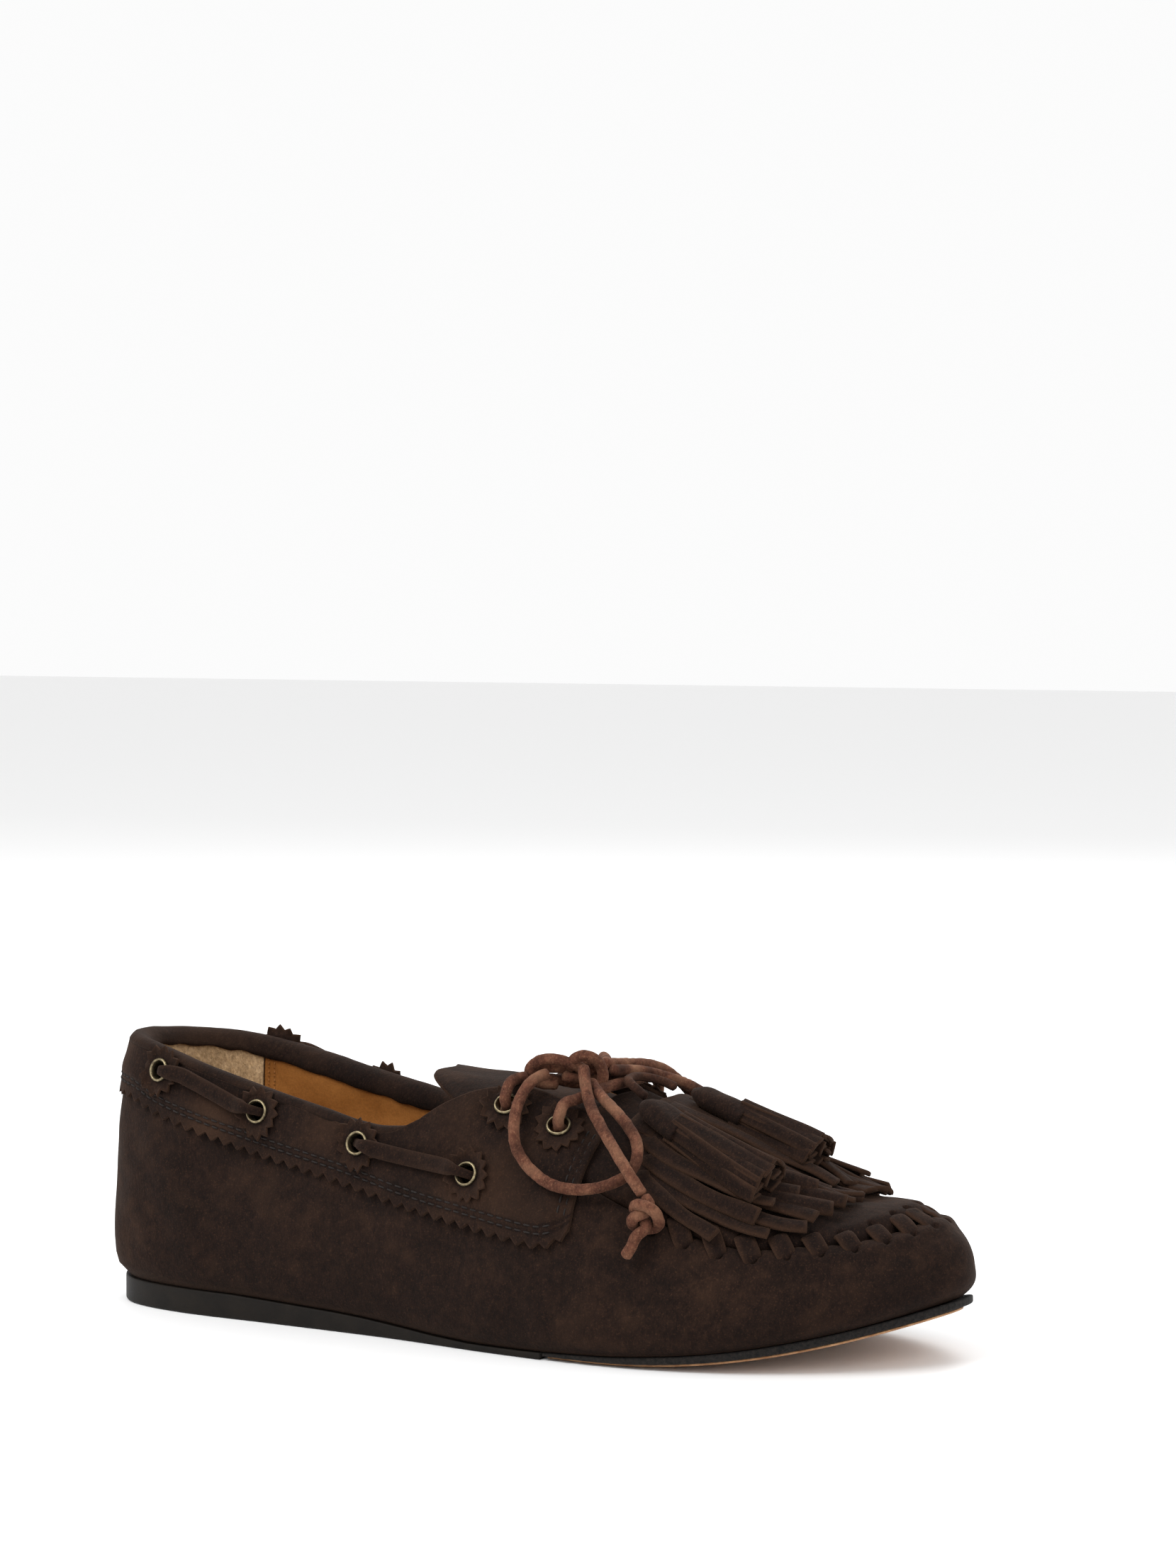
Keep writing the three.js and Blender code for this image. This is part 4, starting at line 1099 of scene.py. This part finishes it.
def make_binding():
    """The rolled edge along the topline, slimmer round the heel and closed down at its ends."""
    marks = np.linspace(-BINDING_END, BINDING_END, 620)
    section = np.array(BINDING)
    w = np.repeat(marks[:, None], len(section), 1)
    slim = mix(0.45, 0.95, step_up(np.abs(marks), 0.1, 0.42))[:, None]
    heel = mix(0.6, 1, step_up(np.abs(marks), 0.08, 0.2))[:, None]
    end = mix(0.3, 1, step_up(BINDING_END - np.abs(marks), 0, 0.02))[:, None]
    z = topline_z(marks)[:, None] + section[None, :, 1] * np.where(section[:, 1] < 0, slim, 1) * end
    off = mix(BINDING_MIDDLE, section[None, :, 0], end) * np.where(section[:, 0] > 0, heel, 1)
    base = on_last(w, height_to_t(w, z), off)
    wave = 0.16 * ripple(base, 16, 71) + 0.07 * ripple(base, 5, 72)
    hem = np.where(section[:, 1] < HEM, 0.35, 0.0)[None, :] * ripple(base, 7, 73)
    close = step_up(BINDING_END - np.abs(w), 0, 0.018)
    rings = on_last(w, height_to_t(w, z + hem * close), off + wave * close)
    tone = 0.25 * ripple(base, 18, 74) + 0.1
    binding = lofts("topline_binding_suede", [rings], [np.concatenate([tone.ravel(), [0, 0]])])
    finish_piece(binding, SUEDE_TRIM, "suede_trim", "topline_binding")


TONGUE = (-5.8, -4.4)  # the distance of its two faces from the last
TONGUE_BACK = 0.441
TONGUE_FRONT = 0.61
TONGUE_SAG = 6.5  # how far its free end drops inside the shoe, in the middle


def make_tongue():
    """A leaf from its sewn front edge back to a rounded free end that sags into the shoe."""
    a, b = np.meshgrid(np.linspace(0, 1, 90), np.linspace(-1, 1, 90), indexing="ij")
    u = mix(TONGUE_BACK, TONGUE_FRONT, a)
    half = 1 - smooth(TONGUE_SIDE_T, u)
    rounded = 0.045 * np.abs(b) ** 2.5 * (1 - a) ** 4
    w, t = across(u + rounded, b * half)
    points = last_point(w, t)
    wave = 0.25 * ripple(points, 16, 81) * step_up(a, 0, 0.3)
    arch = np.cos(b * math.pi / 2)
    wave = wave - TONGUE_SAG * ((1 - a) ** 2 * arch + 0.5 * (1 - a) ** 4 * (1 - arch))
    back, front = (on_last(w, t, face + wave) for face in TONGUE)
    tone = 0.35 * ripple(points, 14, 82)
    tongue = sheet("tongue_suede", front, back, None, 0.35, tone, 0.8)
    finish_piece(tongue, SUEDE, "suede", "tongue", body="tongue_flap")


# ---------- the kiltie ----------
KILTIE_ROOT = 0.615
KILTIE_LOWER = 1.4  # the distance of each layer from the last
KILTIE_UPPER = 2.5
BAND_HALF = 0.28  # half the root band's width, in s
STRIP_THICKNESS = 1.3


def kiltie_strip(root, end, off, width, lift_up, curl, sway, spread, seed):
    """One cut strip from the root band out to its end, with its own waves. root and end are [u, s]."""
    draw = np.random.default_rng(seed)
    c = np.linspace(0, 1, 36)
    u = mix(root[0], end[0], c)
    s = mix(root[1], end[1], c ** spread) + sway * np.sin(c * math.pi)
    s = s + 0.3 * sway * np.sin(3 * c * math.pi)
    rise = off + 0.5 + draw.uniform(0.2, 0.7) * np.sin(c * math.pi * draw.uniform(1.0, 2.2)) ** 2
    w, t = across(u, s)
    path = on_last(w, t, rise + lift_up * c**1.5 - apron_sink(w, t))
    up = last_normal(w, t)
    flat = unit(np.cross(tangents(path), up))
    roll = curl * step_up(c, 0.15, 1)[:, None]
    up = unit(up * np.cos(roll) + flat * np.sin(roll))
    shape = mix(1.0, 0.92, c) * (1 + 0.06 * np.sin(c * 9 + seed))
    cup = mix(0.2, draw.uniform(0.15, 0.75), c)
    return strip_rings(path, up, width * shape, STRIP_THICKNESS, cup)


def root_band(off, end):
    """The uncut part that the strips hang from, as a strip across the shoe up to the u of its end."""
    s = np.linspace(-BAND_HALF, BAND_HALF, 60)
    w, t = across(np.full(60, mix(KILTIE_ROOT, end, 0.5)), s)
    path = on_last(w, t, off + STRIP_THICKNESS / 2)
    width = np.linalg.norm(last_point(KILTIE_ROOT, 0.8) - last_point(end, 0.8))
    return strip_rings(path, last_normal(w, t), width, STRIP_THICKNESS)


# Where the strips end: [how far out, u at the end, s at the end], from the middle to the side.
LOWER_ENDS = [[0, 0.93, 0.0], [0.13, 0.935, 0.1], [0.26, 0.9, 0.17], [0.38, 0.87, 0.24],
              [0.5, 0.845, 0.31], [0.61, 0.822, 0.38], [0.71, 0.8, 0.444], [0.8, 0.782, 0.5],
              [0.9, 0.752, 0.55], [1, 0.724, 0.6]]
UPPER_ENDS = [[0, 0.84, 0.0], [0.17, 0.85, 0.08], [0.33, 0.835, 0.16], [0.5, 0.81, 0.24],
              [0.66, 0.79, 0.32], [0.83, 0.765, 0.41], [1, 0.735, 0.5]]


def make_kiltie(node, ends, off, reach, width, band_end, seed):
    """One layer: its root band and a strip to each end. reach is how far out the strips start."""
    bodies = [root_band(off, band_end)]
    for side in (-1, 1):
        for number, (share, u, s) in enumerate(ends):
            if side == 1 and number == 0:
                continue  # the middle strip is there already
            draw = np.random.default_rng(seed + 10 * number + side)
            root = [KILTIE_ROOT + 0.01 + 0.02 * max(0, share - 0.6) / 0.4, side * share * reach]
            end = [u + draw.uniform(-0.012, 0.012), side * s]
            lift_up = draw.uniform(-0.3, 1.4)
            curl = draw.uniform(-0.6, 0.6)
            sway = draw.uniform(-0.03, 0.03)
            own_width = width * draw.uniform(0.9, 1.08)
            bodies.append(kiltie_strip(root, end, off + 0.5 * (number % 2), own_width, lift_up, curl,
                                       sway, mix(1.1, 0.62, share), seed + 100 * number + side))
    layer = lofts(f"{node}_fringe", bodies, [strip_tones(len(body)) for body in bodies])
    finish_piece(layer, SUEDE, "suede", node, body="kiltie_flap")


def make_kilties():
    make_kiltie("kiltie_lower", LOWER_ENDS, KILTIE_LOWER, 0.43, 4.9, 0.65, 300)
    make_kiltie("kiltie_upper", UPPER_ENDS, KILTIE_UPPER, 0.36, 5.0, 0.64, 500)


# ---------- the tassels ----------
TASSEL_BED = 3.6  # the distance from the last at which they lie
TASSEL_HEAD_SHARE = 0.3
TASSEL_STRIP_WIDTH = 4.3
TASSEL_STRIP_THICKNESS = 1.05
# Where each tassel starts and ends on the last, as [u, s].
TASSEL_PLACES = {"lateral": ([0.618, -0.19], [0.752, -0.36]), "medial": ([0.628, 0.02], [0.8, 0.02])}
# The strips' places in the tassel's section: [side to side, height, tilt in degrees].
TASSEL_LAYERS = [[-0.72, 0.08, -5], [-0.24, 0.08, 0], [0.24, 0.1, 0], [0.72, 0.1, 5],
                 [-0.6, 0.4, -20], [-0.2, 0.6, 0], [0.18, 0.62, 75], [0.6, 0.42, 20],
                 [-0.98, 0.2, -75], [-0.93, 0.5, -60], [-0.72, 0.74, -40], [-0.42, 0.92, -22],
                 [-0.1, 1.0, -4], [0.22, 1.0, 10], [0.52, 0.88, 28], [0.8, 0.66, 48],
                 [0.96, 0.34, 72]]


def tassel_frame(start, end, c):
    """Points and frames along a tassel's bed, from its cord to its tips."""
    u = mix(start[0], end[0], c)
    s = mix(start[1], end[1], c)
    w, t = across(u, s)
    bed = on_last(w, t, TASSEL_BED)
    run = tangents(bed)
    up = last_normal(w, t)
    side = unit(np.cross(run, up))
    return bed, side, np.cross(side, run)


def make_tassel(word, seed):
    """The cut strips, fanning out in layers from the wrapped head."""
    c = np.linspace(0, 1, 60)
    bed, side, up = tassel_frame(*TASSEL_PLACES[word], c)
    wide = 4.8 + 4.2 * step_up(c, 0.1, 1.0)
    tall = 6.2 + 1.8 * step_up(c, 0.1, 0.8)
    bodies, tones = [], []
    for number, (place, height, tilt) in enumerate(TASSEL_LAYERS):
        draw = np.random.default_rng(seed + number)
        live = (c > TASSEL_HEAD_SHARE - 0.06) & (c < 1 - draw.uniform(0, 0.07))
        wobble = 0.6 * np.sin(c * draw.uniform(3, 7) + draw.uniform(0, 6)) * mix(0.3, 1, c)
        centre = (bed + side * (place * (wide - 1.2) + wobble * 0.5)[:, None]
                  + up * (0.4 + height * (tall - 0.8) + wobble * 0.3)[:, None])
        angle = math.radians(tilt) + 0.2 * draw.normal()
        face = up * math.cos(angle) + side * math.sin(angle)
        width = TASSEL_STRIP_WIDTH + draw.uniform(-0.3, 0.5)
        rings = strip_rings(centre[live], face[live], width, TASSEL_STRIP_THICKNESS, 0.15)
        bodies.append(rings)
        tones.append(strip_tones(len(rings)))
    fringe = lofts(f"{word}_tassel_strips", bodies, tones)
    finish_piece(fringe, SUEDE, "suede", f"{word}_tassel_fringe", body=f"{word}_tassel")
    make_tassel_head(word, bed, side, up, c, seed)


def make_tassel_head(word, bed, side, up, c, seed):
    """The rolled head: a fat spiral wrap, rounded over where the cord goes in."""
    live = c < TASSEL_HEAD_SHARE + 0.02
    place = c[live] / TASSEL_HEAD_SHARE
    wide = (4.7 + 0.7 * place) * np.sqrt(np.clip(1 - (1 - np.clip(place / 0.35, 0, 1)) ** 2, 0.1, 1))
    tall = wide * 0.6
    angle = np.linspace(0, 2 * math.pi, 72, endpoint=False)
    centre = bed[live] + up[live] * 3.0
    wrap_step = 0.5 * (1 - (angle / (2 * math.pi) + 0.37) % 1)
    sideways = (wide[:, None] + wrap_step - 0.25) * np.cos(angle)
    upwards = (tall[:, None] + wrap_step - 0.25) * np.sin(angle)
    rings = (centre[:, None] + side[live][:, None] * sideways[..., None]
             + up[live][:, None] * upwards[..., None])
    rings = rings + unit(rings - centre[:, None]) * (0.18 * ripple(rings, 6, seed + 50))[..., None]
    head = lofts(f"{word}_tassel_wrap", [rings])
    finish_piece(head, SUEDE, "suede", f"{word}_tassel_head", body=f"{word}_tassel")


# ---------- eyelets, washers and the thong through the collar ----------
EYELET_BASE = 4.05  # its distance from the last
# The rolled ring's section: [radius, height], out over the washer and down through the leather.
EYELET_PROFILE = [[2.42, -2.2], [2.45, -0.4], [2.52, 0.2], [2.68, 0.52], [2.9, 0.62], [3.1, 0.52],
                  [3.26, 0.26], [3.3, 0.0], [3.2, -0.2], [3.0, -0.15], [2.75, -0.3], [2.65, -2.2]]
WASHER_TEETH = 13
WASHER_FLAT = 5.3  # the radius out to which it has no teeth
WASHER = (3.05, 3.95)  # the distance of its two faces from the last


def seat(w, t, off):
    """A point on the last with its across, up-the-slope and outward directions."""
    out = last_normal(w, t)
    run = last_point(w + 2e-3, t) - last_point(w - 2e-3, t)
    run = unit(run - out * (run @ out))
    return on_last(w, t, off), run, np.cross(out, run), out


def make_eyelet(name, w, t):
    """The rolled ring, a section swept right round."""
    centre, run, slope, out = seat(w, t, EYELET_BASE)
    rings = []
    for angle in np.arange(56) / 56 * 2 * math.pi:
        spoke = run * math.cos(angle) + slope * math.sin(angle)
        rings.append([centre + spoke * r + out * h for r, h in EYELET_PROFILE])
    rings = np.array(rings)
    count, sides = rings.shape[:2]
    i, k = np.meshgrid(np.arange(count), np.arange(sides), indexing="ij")
    a = i * sides + k
    b = i * sides + (k + 1) % sides
    c = (i + 1) % count * sides + k
    d = (i + 1) % count * sides + (k + 1) % sides
    faces = np.stack([a, b, d, c], -1).reshape(-1, 4)
    points = rings.reshape(-1, 3)
    ring = link_mesh(f"{name}_ring", points, facing_out(points, faces).tolist())
    finish_piece(ring, BRASS, "eyelet_brass", f"{name}_eyelet")


def make_washer(name, w0, t0, seed):
    """A pinked suede washer under an eyelet, its teeth curling up a little."""
    turn = np.random.default_rng(seed).uniform(0, 1)
    a, b = np.meshgrid(np.linspace(0, 1, WASHER_TEETH * 12 + 1), np.linspace(0, 1, 16), indexing="ij")
    tooth = np.abs((a * WASHER_TEETH) % 1 * 2 - 1)
    rim = 5.4 + 1.5 * (1 - tooth ** 0.8) + 0.25 * np.sin(6 * math.pi * a + seed)
    radius = mix(EYELET_HOLE, WASHER_FLAT, b) + (rim - WASHER_FLAT) * step_up(b, 0.6, 1)
    angle = 2 * math.pi * (a + turn)
    w = w0 + radius * np.cos(angle) / millimetres_per_w(w0, t0)
    t = t0 + radius * np.sin(angle) / millimetres_per_t(w0, t0)
    points = last_point(w, t)
    curl = step_up(b, 0.5, 1) * (0.4 + 0.6 * ripple(points, 6, seed)) - 0.3 * (1 - b)
    front = on_last(w, t, WASHER[1] + curl)
    back = on_last(w, t, WASHER[0] + curl * 0.9)
    # Painted shade darkens the inner part round the hole, under the eyelet's rolled ring; the teeth are
    # rubbed lighter.
    tone = 0.3 * step_up(b, 0.4, 1) - 0.5 * (1 - step_up(b, 0, 0.35))
    washer = sheet(f"{name}_pinked_washer", front, back, None, 0.22, tone, 0.9)
    finish_piece(washer, SUEDE, "suede", f"{name}_washer")


def make_eyelets():
    per_side = len(SIDE_EYELETS) + len(FRONT_EYELETS)
    for number, (w, t) in enumerate(ALL_EYELETS):
        word = "lateral" if w < 0 else "medial"
        name = f"{word}_{number % per_side + 1}"
        make_eyelet(name, w, t)
        make_washer(name, w, t, 600 + number)


# Through a side eyelet: [millimetres past its middle, distance from the last, width share].
SIDE_DIVE = [[-8, 4.9, 1], [-4.6, 5.95, 0.9], [-2.5, 5.9, 0.65], [0, 3.3, 0.55],
             [2.5, 1.05, 0.6], [4.6, 0.85, 0.9], [8, 0.85, 1]]
THONG_TOP = SIDE_DIVE[0][1]
THONG_WIDTH = 4.3
THONG_THICKNESS = 1.8
THONG_OUTSIDE = 3.9  # its height on the outside, between two washers
THONG_INSIDE = 0.85
THONG_STEP = 7
SIDE_LENGTH = 330  # of the upper's side, for w from 0 to 1


def thong_places():
    """[w, t, distance from the last, width share] along the thong, from end to end."""
    places = []
    side = [[-u, t] for u, t in SIDE_EYELETS][::-1] + SIDE_EYELETS
    for number, (w, t) in enumerate(side):
        per_w = millimetres_per_w(w, t)
        comes_out = number % 2 == 0
        dive = [[-d, off, share] for d, off, share in SIDE_DIVE][::-1] if comes_out else SIDE_DIVE
        if places:
            w0, t0 = places[-1][:2]
            span = w + dive[0][0] / per_w - w0
            count = max(2, round(abs(span) * SIDE_LENGTH / THONG_STEP))
            for i in range(1, count):
                outside = mix(THONG_OUTSIDE, THONG_TOP, 2 * abs(i / count - 0.5))
                off = THONG_INSIDE if comes_out else outside
                places.append([w0 + span * i / count, mix(t0, t, i / count), off, 1])
        places += [[w + d / per_w, t, off, share] for d, off, share in dive]
    return np.array(places)


def make_thong():
    places = thong_places()
    fine = np.linspace(0, len(places) - 1, len(places) * 7)
    padded = np.vstack([places[:1], places, places[-1:], places[-1:]])
    w, t, off, share = catmull(padded, fine).T
    path = on_last(w, t, off)
    rings = strip_rings(path, last_normal(w, t), THONG_WIDTH * share, THONG_THICKNESS, 0.15)
    rings = rings + 0.08 * ripple(rings, 4, 91)[..., None] * last_normal(w, t)[:, None]
    thong = lofts("side_thong_suede", [rings], [0.6 * strip_tones(len(rings))])
    finish_piece(thong, SUEDE, "suede_trim", "side_thong")


# ---------- the round lace ----------
LACE_DIAMETER = 3
TASSEL_CORD_DIAMETER = 2.4
LACE_INSIDE = -6.3  # how deep its inside run lies between the two eyelets
# Down through a front eyelet: [millimetres up the slope from its middle, distance from the last].
FRONT_DIVE = [[5, 7], [2.6, 7], [0.9, 6.3], [0.1, 4.8], [0, 3], [0, 0], [0, -3]]
# The held lace's run over the tongue, between the two foremost eyelets.
CROSSING = [[29.6, -26.2, 65.2], [31, -20, 66.4], [31.6, -11, 67.2], [31.4, -1, 67.3],
            [30.2, 10, 67.1], [28.4, 19, 66.2], [26.4, 25, 64.9]]
# Where the held lace leaves the knot on each side, on its way to the back eyelet.
KNOT_ENDS = {-1: [[13.6, -24.4, 70.2]], 1: [[26.6, -8.4, 71], [21, 6, 71.2], [12.4, 20.2, 70.6]]}
# The free loops and tails, each from the knot outwards.
LATERAL_LOOP = [[19.8, -23.5, 71.4], [17.3, -28.5, 69.1], [17, -34.5, 64.4], [18, -38.5, 59.4],
                [19.8, -40.6, 54], [24.3, -42, 49.1], [30.8, -42.8, 45.5], [37.6, -42.6, 44.4],
                [44.3, -41, 45.2], [49.6, -38.4, 47.5], [52, -36.2, 50.9], [51, -33, 55.5],
                [46.9, -30, 59.5], [41.4, -27, 63], [35.2, -23.5, 66.2], [29.8, -19, 69.1]]
LATERAL_TAIL = [[28.8, -21, 73.3], [31.4, -24.5, 68.6], [35, -28.5, 64.1], [40.1, -33, 60.2],
                [47.2, -38, 54.5], [53.5, -41.2, 48.6], [57.4, -41.8, 44.2]]
MEDIAL_LOOP = [[28, -10, 70.4], [27.2, -3, 69], [26, 5, 68.3], [23.6, 12, 68.4], [20.4, 19, 68.6],
               [17.4, 25, 66.4], [15, 30.5, 62.6], [13.8, 34.6, 58.2], [15.1, 37, 53.6],
               [20.8, 38.7, 48.3], [26, 39.9, 45.4], [30.7, 40.6, 44], [35.6, 40.5, 44.1],
               [39.7, 39.2, 45.8], [42.5, 38, 47.5], [44.7, 35.2, 51.2], [44.6, 32.1, 54.6],
               [42.4, 28.6, 58.8], [38.8, 24, 63], [37.4, 17.6, 65.6], [35, 10.5, 67.9],
               [33, 4, 69.6], [31.6, -3, 70.5], [30.8, -9, 71]]
MEDIAL_TAIL = [[28.4, -9, 72.8], [28.4, -2, 72], [29.3, 5, 71.3], [30.6, 12, 70.4], [32, 19, 68.2],
               [33.4, 26, 64], [35.1, 32.4, 59], [39.7, 37.9, 54.4], [44.1, 40.4, 50],
               [47.4, 41.8, 45.9], [48.8, 42.2, 43.6]]
# The cord that holds the two tassels, from the lateral one back under the knot to the medial one.
TASSEL_CORD = [[42.4, -11.6, 64.8], [39, -11, 67], [35.6, -9, 68.6], [34.8, -5, 69],
               [35.6, -1, 68.8], [39.4, 1.6, 67.8], [43.8, 2.6, 66]]
# Each end knot's middle, and where the cut end below it runs to.
END_KNOTS = {
    "lateral": ([58.6, -42.6, 38.8], [[57, -44.5, 34.2], [56, -45.4, 31.6], [54.4, -46.1, 28.6]]),
    "medial": ([51, 43.4, 38.8], [[52.2, 45, 33.6], [52.6, 45.4, 30.6], [53.2, 45.8, 27]])}


def lace(name, node, path, seed, diameter=LACE_DIAMETER, material=LACE):
    """A round leather lace along a path, standing for a node."""
    rings = tube_rings(path, diameter, seed)
    tone = 0.45 * ripple(loft_points(rings), 9, seed + 3)
    piece = lofts(name, [rings], [tone])
    return finish_piece(piece, material, "lace_leather", node)


def lace_side(side):
    """The held lace on one side: down the back eyelet, along the inside and up the front one."""
    holes = [(side * u, t) for u, t in FRONT_EYELETS]
    dives = []
    for w, t in holes:
        slope = unit(last_point(w, t + 1e-3) - last_point(w, t - 1e-3))
        dives.append([on_last(w, t, off) + slope * up for up, off in FRONT_DIVE])
    inside = [on_last(mix(holes[0][0], holes[1][0], s), mix(holes[0][1], holes[1][1], s), LACE_INSIDE)
              for s in (0.15, 0.5, 0.85)]
    return KNOT_ENDS[side] + dives[0] + inside + dives[1][::-1]


def make_front_lace():
    route = lace_side(-1) + CROSSING + lace_side(1)[::-1]
    lace("front_lace_round", "front_lace", even_path(route, 0.6), 700)


def make_tassel_cord():
    lace("tassel_cord_round", "tassel_cord", even_path(TASSEL_CORD, 0.5), 705,
         TASSEL_CORD_DIAMETER, LACE_DARK)


KNOT_CENTRE = [22, -17.5, 71]
KNOT_TURN = 0.575  # how far its long way is turned from the shoe's length
# Strands of the bow's knot: [along it, out to its near side, up] from its middle.
KNOT_STRANDS = [
    [[-2.1, -2.6, -3.5], [-6.3, -1.6, -3.1], [-9.3, -0.4, -1.6], [-9.7, 0.8, 0.9],
     [-7.5, 1.4, 3.1], [-3.8, 1.6, 3.6], [0, 1.4, 2.7], [3.4, 0.2, 1.2], [5.4, -1.4, -0.8]],
    [[1, -1.4, 0.7], [1.7, 1.6, 3.4], [4, 2.8, 4.6], [7.1, 2.6, 3.6], [9, 2, 0.8],
     [9.1, 1.2, -2.5], [7, 0.4, -4.6], [4.3, -0.6, -5.1]],
    [[-8.3, -2.2, -0.8], [-6.9, -2.2, 0.7], [-3.2, -2, 1], [1, -2.6, 0.7], [4.4, -1.6, 1.8],
     [7.2, -2.2, 1.3], [8.9, -3, -0.4]],
    [[-5.2, -3.2, -2.1], [-1.7, -3.6, -2.5], [2.5, -3.8, -3.3], [6, -3.6, -2.9], [8.7, -3.8, -1.1]],
    [[-1.2, -0.6, -0.7], [1, -0.2, -1.6], [3.6, -1.2, -1.5], [6.3, -2.4, 0.6], [8.6, -3, 2.1]]]


def make_bow_knot():
    directions = np.array([[math.cos(KNOT_TURN), math.sin(KNOT_TURN), 0],
                           [math.sin(KNOT_TURN), -math.cos(KNOT_TURN), 0], [0, 0, 1]])
    bodies, tones = [], []
    for number, strand in enumerate(KNOT_STRANDS):
        path = even_path(KNOT_CENTRE + np.array(strand) @ directions, 0.5)
        rings = tube_rings(path, LACE_DIAMETER, 710 + number)
        bodies.append(rings)
        tones.append(0.45 * ripple(loft_points(rings), 9, 720 + number))
    knot = lofts("bow_knot_strands", bodies, tones)
    finish_piece(knot, LACE, "lace_leather", "bow_knot")


def overhand_curve(count=64, steps=700, length=16.5):
    """The middle line of a tight overhand knot in a cord one unit thick: a long trefoil curve, pulled
    tight while its strands keep a diameter apart."""
    s = np.linspace(-2.12, 2.12, 600)
    raw = np.stack([s**3 - 3 * s, 0.8 * (s**4 - 4 * s**2), 0.28 * (s**5 - 10 * s)], -1)
    run = run_along(raw)
    marks = np.linspace(0, run[-1], count)
    p = np.stack([np.interp(marks, run, raw[:, k]) for k in range(3)], -1) * length / run[-1]
    gap = length / (count - 1)
    i, j = np.triu_indices(count, math.ceil(1.35 / gap))
    for step in range(steps):
        axis = unit(p[-1] - p[0]) * (0.03 if step < 0.8 * steps else 0)
        p[0] -= axis
        p[-1] += axis
        for again in range(5):
            apart = p[j] - p[i]
            far = np.linalg.norm(apart, axis=1)
            close = far < 1
            push = apart[close] / far[close, None] * (0.3 * (1 - far[close]))[:, None]
            np.add.at(p, i[close], -push)
            np.add.at(p, j[close], push)
            for odd in (0, 1):
                k = np.arange(odd, count - 1, 2)
                link = p[k + 1] - p[k]
                size = np.linalg.norm(link, axis=1, keepdims=True)
                fix = link / size * (size - gap) / 2
                p[k] += fix
                p[k + 1] -= fix
        p[1:-1] += 0.12 * (p[:-2] + p[2:] - 2 * p[1:-1])
    return p


KNOT_SPREAD = 1.15  # the end knots are a little wider and flatter than the even curve
KNOT_SQUEEZE = 0.78
KNOT_HALF = 4.6  # how far the knot reaches along its axis before the squeeze
OVERHAND = overhand_curve()


def make_end_knot(word, tail_end, turn, seed):
    """An overhand knot on the tail, and the short cut end below it."""
    centre, stub = END_KNOTS[word]
    curve = OVERHAND * LACE_DIAMETER
    axis = unit(curve[-1] - curve[0])
    middle = (curve.min(0) + curve.max(0)) / 2
    aim = unit(np.array(stub[0]) - np.array(tail_end))
    side = unit(np.cross(axis, [0.2, 0.5, 0.3]))
    target_side = unit(np.cross(aim, [math.cos(turn), math.sin(turn), 0.2]))
    own = np.stack([axis, side, np.cross(axis, side)])
    target = np.stack([aim, target_side, np.cross(aim, target_side)])
    placed = (curve - middle) @ own.T @ target + centre
    height = ((placed - centre) @ aim)[:, None]
    placed = centre + KNOT_SPREAD * (placed - centre - height * aim) + KNOT_SQUEEZE * height * aim
    knot = placed[np.abs(height[:, 0]) < KNOT_HALF]
    path = even_path([tail_end] + list(knot[::2]) + stub, 0.5)
    return lace(f"{word}_end_knot_tied", f"{word}_end_knot", path, seed)


def make_free_cords():
    """The bow's two loops and two tails, each a free cord that leaves the knot."""
    knots = {"lateral_tail": make_end_knot("lateral", LATERAL_TAIL[-1], 0.4, 730),
             "medial_tail": make_end_knot("medial", MEDIAL_TAIL[-1], 2.0, 735)}
    routes = {"lateral_loop": LATERAL_LOOP, "lateral_tail": LATERAL_TAIL,
              "medial_loop": MEDIAL_LOOP, "medial_tail": MEDIAL_TAIL}
    for number, (word, route) in enumerate(routes.items()):
        path = even_path(route, 0.5)
        piece = lace(f"{word}_cord", word, path, 740 + 5 * number)


# ---------- the floor and the light ----------
FLOOR_HALF = 6  # metres
FLOOR_DROP = 0.0002


def make_stage():
    floor_mesh = bpy.data.meshes.new("floor")
    corners = [(FLOOR_HALF * x, FLOOR_HALF * y, 0) for x, y in ((-1, -1), (1, -1), (1, 1), (-1, 1))]
    floor_mesh.from_pydata(corners, [], [(0, 1, 2, 3)])
    floor = bpy.data.objects.new("floor", floor_mesh)
    bpy.context.scene.collection.objects.link(floor)
    floor.location.z = cad_low.z - FLOOR_DROP
    floor_mesh.materials.append(Look("pale_floor").finish(Base_Color=grey(0.86), Roughness=0.55))
    world = bpy.data.worlds.new("studio")
    world.use_nodes = True
    world.node_tree.nodes["Background"].inputs["Color"].default_value = (1, 1, 1, 1)
    world.node_tree.nodes["Background"].inputs["Strength"].default_value = 0.97
    bpy.context.scene.world = world
    area_light("key", (-0.5, -1.0, 1.3), 0.9, 22)
    area_light("fill", (1.3, -0.8, 0.8), 1.0, 9)
    area_light("back", (-0.2, 1.2, 1.1), 0.9, 10)


def area_light(name, place, size, power):
    data = bpy.data.lights.new(name, "AREA")
    data.energy = power
    data.size = size
    light = bpy.data.objects.new(name, data)
    light.location = place
    light.rotation_mode = "QUATERNION"
    light.rotation_quaternion = (Vector((0, 0, 0.04)) - Vector(place)).to_track_quat("-Z", "Y")
    bpy.context.scene.collection.objects.link(light)


make_wedge()
make_forefoot_sole()
make_tread()
make_sock()
make_vamp()
make_apron()
make_whip_stitches()
make_collar()
make_collar_threads()
make_linings()
make_lining_threads()
make_binding()
make_tongue()
make_kilties()
make_tassel("lateral", 800)
make_tassel("medial", 830)
make_eyelets()
make_thong()
make_front_lace()
make_tassel_cord()
make_bow_knot()
make_free_cords()
for hidden in ("insole_board", "heel_counter"):
    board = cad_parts[hidden]
    board.data.materials.clear()
    board.data.materials.append(BOARD)
make_stage()
bpy.context.scene.view_settings.view_transform = "Standard"
